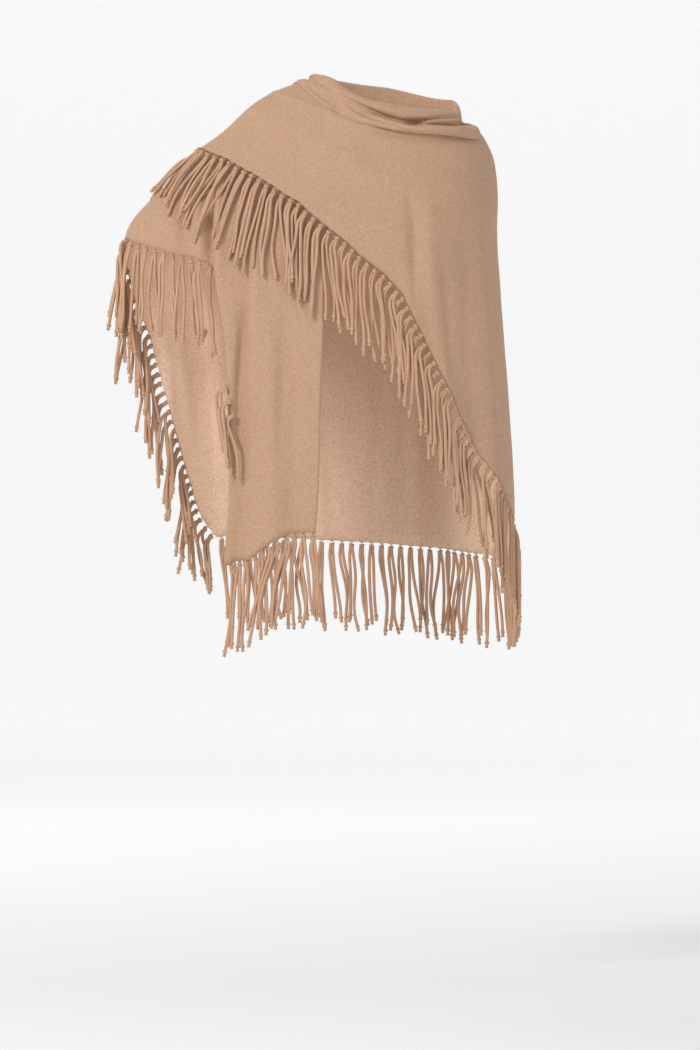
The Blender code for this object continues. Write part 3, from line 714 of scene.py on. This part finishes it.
def sheetPoints():
    # the sheet's points and normals by row and column, empty beside the panel's lower rows
    rows = cape["rows"]
    grid = np.full((rows + cape["panelRows"] + 1, len(columns), 3), np.nan)
    for at in range(len(columns)):
        for row in range(lowestRow(at) + 1):
            grid[row, at] = place(*sheetPlace(at, row))
    normals = np.zeros_like(grid)
    normals[: rows + 1] = gridNormals(grid[: rows + 1])
    normals[rows + 1 :, :panelCount] = gridNormals(grid[rows:, :panelCount])[1:]
    if normals[0, 0, 1] > 0.0:  # the slit's edge faces the front
        normals = -normals

    filled = ~np.isnan(grid[:, :, 0])
    points, outwards = grid[filled], normals[filled]
    layer = [layerHeight(column["turn"]) / drape["layer"] for column in columns]
    wrap = np.broadcast_to(layer, filled.shape)[filled]
    inFront = points[:, 1] < 0.0
    for table, side in ((creases, inFront), (creasesBehind, ~inFront)):
        points = pressCreases(points, outwards, table, {"wrap": wrap * side, "under": (1.0 - wrap) * side})
    wave = [
        sum(share * noise.noise(Vector(point) * scale) for scale, share in cape["waves"])
        for point in points
    ]
    grid[filled] = points + outwards * np.array(wave)[:, None] * cape["unevenness"]
    return grid, normals


def drawEdge(grid):
    # each knot draws the sheet's edge out a little, which lies back between two knots
    starts = {}
    for at, column in enumerate(columns):
        start = starts.setdefault(column["edge"], at)
        atKnot = (at - start) % cape["columnsPerKnot"] == 1
        pull = cape["scallop"] if atKnot else -0.5 * cape["scallop"]
        lowest = lowestRow(at)
        down = grid[lowest, at] - grid[lowest - 1, at]
        down /= np.linalg.norm(down)
        grid[lowest, at] += down * pull
        grid[lowest - 1, at] += down * pull * 0.5


def makeSheet():
    # faces on a flat grid first, with the column as x and the row as -y
    rows, across = cape["rows"], len(columns) - 1
    work = bmesh.new()
    bmesh.ops.create_grid(work, x_segments=across, y_segments=rows, size=1.0)
    for vert in work.verts:
        vert.co.x = round((vert.co.x + 1.0) / 2.0 * across)
        vert.co.y = -round((1.0 - vert.co.y) / 2.0 * rows)
    low = [
        edge for edge in work.edges
        if all(vert.co.y == -rows and vert.co.x < panelCount for vert in edge.verts)
    ]
    for _ in range(cape["panelRows"]):
        low = growRow(work, low, (0.0, -1.0, 0.0))
    print("sheet grid:", len(work.verts), "points")
    spots = {vert: (round(-vert.co.y), round(vert.co.x)) for vert in work.verts}
    grid, normals = sheetPoints()
    drawEdge(grid)
    area = layOut(work, spots, grid, normals)
    print("sheet made, area", round(area, 3))
    return finishObject(cape["name"], work, [knitFace, knitInside], cape["wall"]), grid, normals


knittedSheet, sheetGrid, sheetNormals = makeSheet()

roll = {
    "name": "neckCowl",
    "wall": 0.002,
    "columns": 400,
    "perSpan": 5,  # rows between two rows of the section
    # share of the way from the rim (0) to the fold line (1), height above the layer under it,
    # and the height that the upper and the lower fold add where they are full
    "outside": (
        (0.80, -0.0010, 0.0, 0.0010),
        (0.96, 0.0000, 0.0, 0.0020),
        (1.02, 0.0022, 0.0, 0.0045),
        (0.97, 0.0045, 0.0, 0.0085),
        (0.86, 0.0050, 0.0, 0.0100),
        (0.70, 0.0048, 0.0, 0.0080),
        (0.55, 0.0040, 0.0, 0.0000),
        (0.46, 0.0040, 0.0030, 0.0),
        (0.34, 0.0050, 0.0080, 0.0),
        (0.16, 0.0055, 0.0085, 0.0),
    ),
    # past the rim: how far towards the middle and how far down
    "inside": ((-0.003, -0.005), (0.002, -0.003), (0.005, 0.008), (0.007, 0.026), (0.007, 0.044)),
    "rimHeight": 0.0055,
    "upperFold": (-165.0, -120.0, 15.0, 45.0),  # turns: starts, full, fades, ends
    "lowerFold": (-120.0, -96.0, -55.0, -12.0),
    # the standing loop: turn of its middle, half width in degrees, how far it leans out and rises
    "loop": (18.0, 22.0, 0.011, 0.008),
    "loopShare": 2.0,  # how fast it dies away from the rim to the fold line
    "tuck": 0.0085,  # how far the roll dips where the thrown front's edge lies over it
    "tuckShare": 0.45,  # from here to the fold line
    # the roll's upper outline in the front view, as x and z
    "rim": (
        (-0.150, 0.0550), (-0.133, 0.0630), (-0.119, 0.0670), (-0.097, 0.0610), (-0.081, 0.0530),
        (-0.068, 0.0390), (-0.0446, 0.0275), (-0.025, 0.0190), (0.0116, 0.0120), (0.035, 0.0070),
        (0.069, 0.0055), (0.090, 0.0060), (0.115, 0.0065),
    ),
    "rimFade": 30.0,  # degrees behind the shoulders over which that outline is left again
    "rimShares": (0.2, 0.85),  # shares between which the section stops following that outline
    "rimDepth": 0.05,  # and the depth inside at which it does
    "smoothings": 14,
    "bellyRow": 20,  # a row on the outside
}

# Creases of the roll, in the same way: in front, and behind.
rollCreases = (
    ("roll", 0.0034, -0.0105, (
        (-0.0700, 0.0280), (-0.0545, 0.0170), (-0.0363, 0.0092), (-0.0165, -0.0013), (0.0033, -0.0092),
        (0.0248, -0.0157), (0.0413, -0.0173), (0.0578, -0.0149), (0.0710, -0.0116), (0.0924, -0.0066),
        (0.1188, -0.0041), (0.1350, -0.0010),
    )),
    ("roll", 0.0045, 0.0035, (
        (-0.1400, 0.0590), (-0.1106, 0.0440), (-0.0924, 0.0330), (-0.0759, 0.0212), (-0.0551, 0.0090),
    )),
    ("roll", 0.0045, -0.0060, (
        (-0.0700, 0.0130), (-0.0560, 0.0066), (-0.0396, -0.0033), (-0.0165, -0.0149), (0.0033, -0.0224),
        (0.0248, -0.0290),
    )),
    ("roll", 0.0036, -0.0075, (
        (0.0330, -0.0200), (0.0495, -0.0190), (0.0740, -0.0198), (0.1056, -0.0215), (0.1221, -0.0190),
        (0.1419, -0.0124), (0.1520, -0.0080),
    )),
    ("roll", 0.0040, -0.0024, (
        (-0.1290, 0.0500), (-0.1235, 0.0420), (-0.0960, 0.0190), (-0.0780, 0.0080), (-0.0600, -0.0010),
    )),
    ("roll", 0.0060, -0.0050, ((0.0330, -0.0150), (0.0480, -0.0165), (0.0660, -0.0160))),
    ("roll", 0.0050, 0.0030, (
        (0.0627, -0.0231), (0.0924, -0.0248), (0.1188, -0.0264), (0.1394, -0.0281), (0.1551, -0.0330),
    )),
)
rollCreasesBehind = (
    ("roll", 0.0060, -0.0060, (
        (-0.1350, 0.0480), (-0.0800, 0.0440), (-0.0200, 0.0330), (0.0400, 0.0200), (0.0950, 0.0040),
        (0.1300, -0.0100),
    )),
    ("roll", 0.0080, 0.0035, (
        (-0.1200, 0.0560), (-0.0600, 0.0520), (0.0100, 0.0400), (0.0700, 0.0260), (0.1150, 0.0100),
    )),
)


def heightUnderRoll(turn):
    wound = -(turn % -360.0)
    rise = drape["wrapTurn"]
    return drape["layer"] * smoothStep(0.0, rise, wound) * smoothStep(0.0, rise, 360.0 - wound)


def loopLift(turn, share):
    middle, halfWidth, lean, height = roll["loop"]
    return Vector((lean, 0.0, height)) * max(share, 0.0) * math.exp(-(((turn - middle) / halfWidth) ** 2))


def rawSection(turn):
    # the roll's section at a turn: from under its fold line up over the rim and down inside
    below = heightUnderRoll(turn)
    upperFull = fullness(turn, roll["upperFold"])
    lowerFull = fullness(turn, roll["lowerFold"])
    tuck = overRoll(turn) * roll["tuck"]
    points, shares = [], []
    for share, height, upper, lower in roll["outside"]:
        lift = below + height + upper * upperFull + lower * lowerFull
        lift -= tuck * smoothStep(roll["tuckShare"], 1.0, share)
        inLoop = 1.0 - share * roll["loopShare"]
        points.append(place(turn, rollRing(turn) * share, lift) + loopLift(turn, inLoop))
        shares.append(share)
    rim = place(turn, 0.0, below + roll["rimHeight"]) + loopLift(turn, 1.0)
    toMiddle = Vector((-rim.x, -rim.y, 0.0)).normalized()
    for inward, down in roll["inside"]:
        points.append(rim + toMiddle * inward - Vector((0.0, 0.0, down)))
        shares.append(-down)
    return points, shares


def rimShift(turn):
    # how far the rim must rise to follow the roll's upper outline in the front view
    top = max(rawSection(turn)[0], key=lambda point: point.z)
    return readOff(roll["rim"], top.x) - top.z


def rollSection(turn):
    points, shares = rawSection(turn)
    fade = roll["rimFade"]
    if turn < -180.0:
        shift = rimShift(-180.0) * smoothStep(-180.0 - fade, -180.0, turn)
    elif turn > 0.0:
        shift = rimShift(0.0) * smoothStep(fade, 0.0, turn)
    else:
        shift = rimShift(turn)
    for point, share in zip(points, shares):
        follows = 1.0 - smoothStep(*roll["rimShares"], share)
        point.z += shift * follows * smoothStep(-roll["rimDepth"], 0.0, share)
    return points


def splineThrough(points, perSpan):
    fine = []
    for i in range(len(points) - 1):
        a = points[max(i - 1, 0)]
        b, c = points[i], points[i + 1]
        d = points[min(i + 2, len(points) - 1)]
        for step in range(perSpan):
            t = step / perSpan
            fine.append(
                b + (c - a) * 0.5 * t
                + (a - b * 2.5 + c * 2.0 - d * 0.5) * t * t
                + (b * 1.5 - c * 1.5 + d * 0.5 - a * 0.5) * t * t * t
            )
    fine.append(points[-1])
    return fine


def rollPoints():
    # the roll's points and normals by row and column, smoothed along it and creased
    count = roll["columns"]
    turns = [within(-360.0 * i / count, drape["highestTurn"]) for i in range(count)]
    sections = [splineThrough(rollSection(turn), roll["perSpan"]) for turn in turns]
    grid = np.array(sections).transpose(1, 0, 2)
    for _ in range(roll["smoothings"]):
        grid = grid * 0.5 + (np.roll(grid, 1, axis=1) + np.roll(grid, -1, axis=1)) * 0.25
    closed = np.concatenate([grid[:, -1:], grid, grid[:, :1]], axis=1)
    normals = gridNormals(closed)[:, 1:-1]
    belly = roll["bellyRow"]
    if np.sum(normals[belly, :, :2] * grid[belly, :, :2]) < 0.0:
        normals = -normals
    flat, facing = grid.reshape(-1, 3), normals.reshape(-1, 3)
    outside = np.arange(len(grid)) < (len(roll["outside"]) - 0.5) * roll["perSpan"]
    outside = np.repeat(outside, count)
    inFront = flat[:, 1] < 0.0
    for table, side in ((rollCreases, inFront), (rollCreasesBehind, ~inFront)):
        flat = pressCreases(flat, facing, table, {"roll": outside & side})
    return flat.reshape(grid.shape), normals


def makeRoll():
    # a circle grown row by row first, with the turn as x and the row as z
    grid, normals = rollPoints()
    rows, count = grid.shape[:2]
    work = bmesh.new()
    bmesh.ops.create_circle(work, segments=count, radius=1.0)
    for vert in work.verts:
        vert.co = Vector((math.degrees(math.atan2(vert.co.y, vert.co.x)) % 360.0, 0.0, 0.0))
    low = list(work.edges)
    for _ in range(rows - 1):
        low = growRow(work, low, (0.0, 0.0, 1.0))
    spots = {vert: (round(vert.co.z), round(vert.co.x / 360.0 * count) % count) for vert in work.verts}
    area = layOut(work, spots, np.concatenate([grid, grid[:, :1]], axis=1), normals)
    print("roll made, area", round(area, 3))
    return finishObject(roll["name"], work, [knitFace, knitInside], roll["wall"])


neckCowl = makeRoll()

cords = {
    "radius": 0.0027,
    "roundness": 2,  # gives a cord's section 8 sides
    "knotOut": 0.0042,  # from the cloth's edge to the knot's middle
    "wrapRadius": 0.0023,  # of the cord where it is wound round as a knot
    "wrapReach": 0.0026,  # from the knot's axis to that cord's middle
    "wrapUneven": 0.04,
    "wrapLength": 0.0042,
    "wrapTilt": 0.25,
    "wrapTurns": 400.0,
    "wrapPoints": 14,
    "length": 0.140,
    "uneven": 0.09,
    "steps": 20,
    "rootShare": 0.4,  # of the way to the knot, where a cord starts
    "rootApart": 0.0008,
    "bend": 0.030,  # over which a cord turns from the edge's direction to hanging
    "bendPull": (1.2, 0.15),  # of the edge's direction at first, and of the fall
    "restHeight": 0.0048,
    "settle": 0.018,  # over which it comes down to that height
    "merge": 0.06,  # and over which it leaves the sheet's own unevenness
    "ringMargin": 0.05,  # how far above the last ring it stops going down
    "stack": 0.0052,
    "stackUneven": 0.0008,
    "spread": 0.0030,
    "spreadOut": 0.03,  # over which two cords of a knot come apart
    "spreadStart": 0.55,
    "part": 0.02,  # by how much they lean apart
    "leanLost": 0.4,  # share of the lean that is lost towards the tip
    "sway": 0.0055,
    "swayRange": (0.3, 1.3),
    "wave": 0.16,  # length of a cord's wave
    "waveRange": (0.7, 1.3),
    "stray": 0.085,  # metres sideways for each metre of fall, at random
    "clump": 0.155,  # and for a few neighbouring knots together
    "clumpKnots": (2, 3),
    # the end knot: distance past the tip and radius, which is the knot's own where none is given
    "endKnot": ((0.0015, 1.0), (0.0028, 0.0), (0.0052, 0.0), (0.0066, 0.85), (0.0105, 1.12), (0.0125, 0.95)),
    "endKnotRange": (1.35, 1.6),
    "rootRadius": 0.8,
    "weld": 0.00001,
}

# Each fringe: the sheet's edges that carry it, the CAD node that it replaces, whether its cords
# hang free, at what height they lie where it isn't the usual one, and two tables over shares of
# the edge: the cords' length as a share of the whole, and their lean in metres sideways for each
# metre of fall.
fringes = (
    {
        "name": "fringeDiagonal", "edges": ("side", "diagonal"), "node": "fringe_diagonal", "seed": 3,
        "lengths": ((0.0, 1.0), (0.84, 1.0), (0.92, 0.88), (0.97, 0.80), (1.0, 0.70)),
        "lean": (
            (0.0, 0.0), (0.15, 0.06), (0.3, 0.12), (0.65, 0.12), (0.75, 0.0), (0.8, -0.10), (0.86, -0.25),
            (0.91, -0.48), (0.95, -0.66), (0.98, -0.72), (1.0, -0.28),
        ),
    },
    {
        "name": "fringeThrownSide", "edges": ("thrownSide",), "node": "fringe_thrown_side", "seed": 5,
        "rest": 0.0095, "lengths": ((0.0, 0.70), (0.12, 0.88), (0.25, 1.0), (1.0, 1.0)),
        "lean": ((0.0, -0.30), (1.0, -0.25)),
    },
    {
        "name": "fringeThrownHem", "edges": ("thrownHem",), "node": "fringe_thrown_hem", "seed": 7,
        "rest": 0.0095, "lean": ((0.0, -0.15), (1.0, -0.05)),
    },
    {
        "name": "fringeArm", "edges": ("arm",), "node": "fringe_arm", "seed": 11, "free": True,
        "lean": ((0.0, -0.01), (0.4, -0.06), (1.0, -0.16)),
    },
    {
        "name": "fringeBackSide", "edges": ("backSide",), "node": "fringe_back_side", "seed": 13,
        "free": True, "lengths": ((0.0, 1.0), (1.0, 0.74)),
        "lean": ((0.0, 0.02), (0.7, 0.03), (1.0, 0.10)),
    },
    {
        "name": "fringeBackHem", "edges": ("backHem",), "node": "fringe_back_hem", "seed": 17,
        "lean": ((0.0, 0.04), (0.8, 0.0), (1.0, -0.06)),
    },
    {
        "name": "fringeFrontHem", "edges": ("frontHem",), "node": "fringe_front_hem", "seed": 19,
        "lean": (
            (0.0, 0.08), (0.12, 0.03), (0.16, -0.22), (0.5, -0.28), (0.62, -0.05), (0.8, -0.02),
            (1.0, -0.12),
        ),
    },
    {
        "name": "fringeFrontSide", "edges": (), "node": "fringe_front_side", "seed": 23,
        "lean": ((0.0, 0.10), (1.0, 0.10)),
    },
)
# the few knots that show on the turned-under side of the front panel, on no edge of the sheet
tuft = {
    "route": ((-0.2575, -0.452), (-0.251, -0.474), (-0.2455, -0.497)),
    "lift": 0.0055,
    "length": 0.110,
    "facing": (-1.0, 0.0, -0.6),
}
straightDown = Vector((0.0, 0.0, -1.0))


def driftStep(turn, number, height, wanted):
    # the change of turn and ring that moves a point of the drape by the wanted vector
    turnProbe, ringProbe = 0.5, 0.05
    here = place(turn, number, height)
    perTurn = (place(turn + turnProbe, number, height) - here) / turnProbe
    perRing = (place(turn, number + ringProbe, height) - here) / ringProbe
    aa, ab, bb = perTurn.dot(perTurn), perTurn.dot(perRing), perRing.dot(perRing)
    wa, wb = perTurn.dot(wanted), perRing.dot(wanted)
    det = aa * bb - ab * ab
    return (wa * bb - wb * ab) / det, (wb * aa - wa * ab) / det


def cordHabit(side, lean, dice):
    # how one cord of a knot hangs: functions for its direction and its place sideways, by how far
    # along it is
    phase = dice.uniform(0.0, 2.0 * math.pi)
    wave = dice.uniform(*cords["waveRange"])
    sway = cords["sway"] * dice.uniform(*cords["swayRange"])
    atEdge, atFall = cords["bendPull"]

    def leaning(share):
        return lean * (1.0 - cords["leanLost"] * share)

    def heading(across, fall, walked):
        hang = smoothStep(0.0, cords["bend"], walked)
        return (across * (1.0 - hang) * atEdge + fall * (atFall + hang)).normalized()

    def aside(walked, share):
        out = smoothStep(0.0, cords["spreadOut"], walked)
        start = cords["spreadStart"]
        bow = math.sin(phase + wave * 2.0 * math.pi * walked / cords["wave"]) - math.sin(phase)
        return side * cords["spread"] * (start + (1.0 - start) * out) + sway * bow * share

    return leaning, heading, aside


def towardsX(direction):
    return -direction if direction.x < 0.0 else direction


def rootOf(knot, side):
    # where a cord starts, short of the knot
    inKnot = knot["across"] * cords["knotOut"] * cords["rootShare"]
    return knot["point"] + inKnot + knot["along"] * side * cords["rootApart"]


def freeRoute(knot, side, length, lean, stack, dice):
    # points of a cord that hangs free: it leaves across the edge, bends and falls
    leaning, heading, aside = cordHabit(side, lean, dice)
    across, normal = knot["across"], knot["normal"]
    step = length / cords["steps"]
    points = [rootOf(knot, side)]
    walked = cords["knotOut"]
    line = knot["point"] + across * walked
    for i in range(cords["steps"]):
        share = i / cords["steps"]
        fall = Vector((leaning(share), 0.0, -1.0))
        line = line + heading(across, fall, walked) * step
        walked += step
        out = smoothStep(0.0, cords["spreadOut"], walked)
        sideways = towardsX(normal.cross(fall).normalized())
        points.append(line + sideways * aside(walked, share) + normal * (stack - cords["stack"] / 2.0) * out)
    return points


def laidRoute(knot, side, length, lean, stack, dice, rest):
    # points of a cord that lies on the drape: it leaves across the edge, bends and falls
    leaning, heading, aside = cordHabit(side, lean, dice)
    across = knot["across"]
    turn, number, height = knot["spot"]
    gap = knot["point"] - place(turn, number, height)
    step = length / cords["steps"]
    points = [rootOf(knot, side)]
    walked = cords["knotOut"]
    turnStep, ringStep = driftStep(turn, number, height, across * walked)
    turn, number = turn + turnStep, number + ringStep
    for i in range(cords["steps"]):
        share = i / cords["steps"]
        face = outward(turn, number)
        fall = (straightDown - face * straightDown.dot(face)).normalized()
        sideways = towardsX(face.cross(fall).normalized())
        wanted = heading(across, fall + sideways * leaning(share), walked) * step
        turnStep, ringStep = driftStep(turn, number, height, wanted)
        turn += turnStep
        number = min(number + max(ringStep, 0.0), lastRing - cords["ringMargin"])
        walked += step
        height += (rest - height) * min(step / cords["settle"], 1.0)
        spot = place(turn, number, height) + gap * (1.0 - smoothStep(0.0, cords["merge"], walked))
        spot += outward(turn, number) * stack * smoothStep(0.0, cords["spreadOut"], walked)
        points.append(spot + sideways * aside(walked, share))
    return points


def endKnot(points, dice):
    # adds a small knot near the tip and the short tail past it; gives the radius at every point
    along = (points[-1] - points[-3]).normalized()
    radii = [cords["rootRadius"]] + [1.0] * (len(points) - 1)
    size = dice.uniform(*cords["endKnotRange"])
    tip = points[-1]
    for far, radius in cords["endKnot"]:
        points.append(tip + along * far)
        radii.append(radius or size)
    return radii


def wrapRoute(knot, dice):
    # the turn of cord that makes the knot
    centre = knot["point"] + knot["across"] * cords["knotOut"]
    tilt = dice.uniform(-cords["wrapTilt"], cords["wrapTilt"])
    phase = dice.uniform(0.0, 2.0 * math.pi)
    ahead = (knot["across"] + knot["along"] * tilt).normalized()
    along = knot["normal"].cross(ahead).normalized()
    points = []
    for i in range(cords["wrapPoints"] + 1):
        share = i / cords["wrapPoints"]
        angle = phase + math.radians(cords["wrapTurns"] * share)
        reach = cords["wrapReach"] * dice.uniform(1.0 - cords["wrapUneven"], 1.0 + cords["wrapUneven"])
        points.append(
            centre + ahead * (share - 0.5) * cords["wrapLength"]
            + (along * math.cos(angle) + knot["normal"] * math.sin(angle)) * reach
        )
    return points, [cords["wrapRadius"] / cords["radius"]] * len(points)


def cordMesh(name, routes):
    data = bpy.data.curves.new(name + "Lines", "CURVE")
    data.dimensions = "3D"
    data.bevel_depth = cords["radius"]
    data.bevel_resolution = cords["roundness"]
    data.use_fill_caps = True
    for points, radii in routes:
        spline = data.splines.new("POLY")
        spline.points.add(len(points) - 1)
        for spot, point, radius in zip(spline.points, points, radii):
            spot.co = (*point, 1.0)
            spot.radius = radius
    lines = bpy.data.objects.new(name + "Lines", data)
    bpy.context.scene.collection.objects.link(lines)
    mesh = bpy.data.meshes.new_from_object(lines.evaluated_get(bpy.context.evaluated_depsgraph_get()))
    bpy.data.objects.remove(lines)
    work = bmesh.new()
    work.from_mesh(mesh)
    bpy.data.meshes.remove(mesh)
    bmesh.ops.remove_doubles(work, verts=work.verts, dist=cords["weld"])
    return finishObject(name, work, [rolledCord])


def makeKnot(point, along, normal, downwards, spot):
    across = normal.cross(along).normalized()
    if across.dot(downwards) < 0.0:
        across = -across
    return {"point": point, "along": along, "across": across, "normal": normal, "spot": spot}


def tuftKnots():
    lift = tuft["lift"]
    spots = [(turn, ring, lift) for turn, ring in located(tuft["route"], outline["frontTurns"], lift)]
    points = [place(*spot) for spot in spots]
    along = (points[-1] - points[0]).normalized()
    facing = Vector(tuft["facing"])
    return [makeKnot(point, along, outward(*spot[:2]), facing, spot) for point, spot in zip(points, spots)]


def knotsAlong(edgeNames):
    # knots of some edges, each at the column that its knot draws out
    knots = []
    for name in edgeNames:
        ats = [at for at, column in enumerate(columns) if column["edge"] == name]
        for at in ats[1 :: cape["columnsPerKnot"]]:
            lowest = lowestRow(at)
            if at + 1 >= len(columns) or np.isnan(sheetGrid[lowest, at + 1, 0]):
                continue
            before, point, after = (Vector(sheetGrid[lowest, at + i]) for i in (-1, 0, 1))
            downwards = point - Vector(sheetGrid[lowest - 1, at])
            normal = Vector(sheetNormals[lowest, at])
            spot = sheetPlace(at, lowest)
            knots.append(makeKnot(point, (after - before).normalized(), normal, downwards, spot))
    return knots


def makeFringe(fringe):
    dice = random.Random(fringe["seed"])
    onEdge = bool(fringe["edges"])
    knots = knotsAlong(fringe["edges"]) if onEdge else tuftKnots()
    whole = cords["length"] if onEdge else tuft["length"]
    rest = fringe.get("rest", cords["restHeight"]) + (0.0 if onEdge else tuft["lift"])
    lengths = fringe.get("lengths", ((0.0, 1.0), (1.0, 1.0)))
    tail = cords["endKnot"][-1][0]
    routes = []
    clumped = 0.0
    left = 0
    for number, knot in enumerate(knots):
        if left == 0:
            left = dice.randint(*cords["clumpKnots"])
            clumped = dice.uniform(-1.0, 1.0) * cords["clump"]
        left -= 1
        share = number / max(len(knots) - 1, 1)
        stack = cords["stack"] * (number % 2) + dice.uniform(-1.0, 1.0) * cords["stackUneven"]
        for side in (-1.0, 1.0):
            uneven = 1.0 + dice.uniform(-1.0, 1.0) * cords["uneven"]
            length = whole * readOff(lengths, share) * uneven - tail
            lean = readOff(fringe["lean"], share) + clumped
            lean += dice.uniform(-1.0, 1.0) * cords["stray"] + side * cords["part"]
            if fringe.get("free"):
                points = freeRoute(knot, side, length, lean, stack, dice)
            else:
                points = laidRoute(knot, side, length, lean, stack, dice, rest)
            routes.append((points, endKnot(points, dice)))
        routes.append(wrapRoute(knot, dice))
    piece = cordMesh(fringe["name"], routes)
    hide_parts(fringe["node"])
    print(fringe["name"], len(knots), "knots", len(piece.data.polygons), "faces")
    return piece


fringePieces = [makeFringe(fringe) for fringe in fringes]

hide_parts("back", "right_arm", "right_front", "left_front", "thrown_end")
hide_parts("neck_roll")
for piece in (knittedSheet, neckCowl, *fringePieces):
    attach(piece, "root")

studio = {
    "floor": -1.436,
    "radius": 16.0,
    "curve": 5.0,
    "curveSteps": 12,
    "turnSteps": 64,
    "hole": 0.02,  # radius of the gap in the floor's middle, which is closed at the end
    "wallTop": 7.0,
    "weld": 0.0001,
    "colour": (0.90, 0.90, 0.905),
    "floorColour": (0.93, 0.93, 0.935),
    "floorFade": 1.2,  # height over which the floor's colour becomes the wall's
    "wallFade": (1.5, 4.0),  # heights between which the wall turns back to it in part
    "highShare": 0.45,
    "skyStrength": 0.53,
    "glowInFront": 0.04,
    "glowBehind": 0.30,
    "glowDepth": 5.0,  # how far behind the cape it is full
    "viewHeight": 1.7325,  # metres up the picture at the cape
    "target": (-0.058, -0.03, -0.6765),
    "distance": 9.0,
    "sensor": 36.0,
    "farthest": 100.0,
    # name, place, size, power, colour, and the point that it lights
    "lights": (
        ("keyLight", (-3.7, -4.1, 2.5), 1.3, 163.0, (1.0, 0.985, 0.96), (0.0, 0.0, -0.4)),
        ("fillLight", (3.2, -4.8, 0.6), 3.0, 27.0, (0.97, 0.98, 1.0), (0.0, 0.0, -0.4)),
        ("rimLight", (-2.8, 3.6, 2.4), 1.6, 35.0, (1.0, 1.0, 1.0), (0.0, 0.0, -0.2)),
    ),
}


def backdropMaterial():
    material, make, finish = newMaterial("paleBackdrop")
    floor = studio["floor"]
    low, high = studio["wallFade"]
    where = make("ShaderNodeSeparateXYZ", {0: make("ShaderNodeTexCoord").outputs["Object"]}).outputs
    rise = rangeNode(make, where["Z"], floor, floor + studio["floorFade"])
    fall = rangeNode(make, where["Z"], floor + low, floor + high, 1.0, studio["highShare"])
    shade = mathNode(make, "MULTIPLY", rise, fall)
    glow = rangeNode(make, where["Y"], 0.0, studio["glowDepth"], studio["glowInFront"], studio["glowBehind"])
    finish({
        "Base Color": mixColours(make, shade, studio["floorColour"], studio["colour"]),
        "Roughness": 1.0,
        "Specular IOR Level": 0.0,
        "Emission Color": (1.0, 1.0, 1.0, 1.0),
        "Emission Strength": glow,
    })
    return material


def makeRoom():
    # a floor that curves up into a round wall
    work = bmesh.new()
    floor, radius, curve = studio["floor"], studio["radius"], studio["curve"]
    profile = [Vector((studio["hole"], 0.0, floor)), Vector((radius - curve, 0.0, floor))]
    for i in range(studio["curveSteps"]):
        angle = math.pi / 2.0 * (i + 1) / studio["curveSteps"]
        bend = Vector((math.sin(angle) - 1.0, 0.0, 1.0 - math.cos(angle))) * curve
        profile.append(Vector((radius, 0.0, floor)) + bend)
    profile.append(Vector((radius, 0.0, studio["wallTop"])))
    verts = [work.verts.new(point) for point in profile]
    lines = [work.edges.new(pair) for pair in zip(verts, verts[1:])]
    bmesh.ops.spin(
        work, geom=verts + lines, cent=(0.0, 0.0, 0.0), axis=(0.0, 0.0, 1.0),
        angle=2.0 * math.pi, steps=studio["turnSteps"], use_merge=True,
    )
    bmesh.ops.remove_doubles(work, verts=work.verts, dist=studio["weld"])
    hole = [edge for edge in work.edges if edge.is_boundary and edge.verts[0].co.z < 0.0]
    bmesh.ops.contextual_create(work, geom=hole)
    bmesh.ops.recalc_face_normals(work, faces=work.faces)
    work.normal_update()
    if min(work.faces, key=lambda face: face.calc_center_median().z).normal.z < 0.0:
        bmesh.ops.reverse_faces(work, faces=work.faces)
    finishObject("paleRoom", work, [backdropMaterial()])


def makeLight(name, spot, size, power, colour, aim):
    data = bpy.data.lights.new(name, "AREA")
    data.shape = "SQUARE"
    data.size = size
    data.energy = power
    data.color = colour
    lamp = bpy.data.objects.new(name, data)
    bpy.context.scene.collection.objects.link(lamp)
    lamp.location = spot
    lamp.rotation_mode = "QUATERNION"
    lamp.rotation_quaternion = (Vector(aim) - Vector(spot)).to_track_quat("-Z", "Y")


def makeCamera():
    data = bpy.data.cameras.new("view")
    camera = bpy.data.objects.new("view", data)
    bpy.context.scene.collection.objects.link(camera)
    x, y, z = studio["target"]
    camera.location = (x, y - studio["distance"], z)
    camera.rotation_euler = (math.pi / 2.0, 0.0, 0.0)
    data.sensor_width = studio["sensor"]
    data.lens = studio["sensor"] * studio["distance"] / studio["viewHeight"]
    data.clip_end = studio["farthest"]
    bpy.context.scene.camera = camera


def makeSky():
    world = bpy.data.worlds.new("studioSky")
    world.use_nodes = True
    sky = world.node_tree.nodes["Background"]
    sky.inputs["Color"].default_value = (1.0, 1.0, 1.0, 1.0)
    sky.inputs["Strength"].default_value = studio["skyStrength"]
    bpy.context.scene.world = world


makeRoom()
for light in studio["lights"]:
    makeLight(*light)
makeSky()
makeCamera()
bpy.context.scene.view_settings.view_transform = "Standard"
print("studio made")
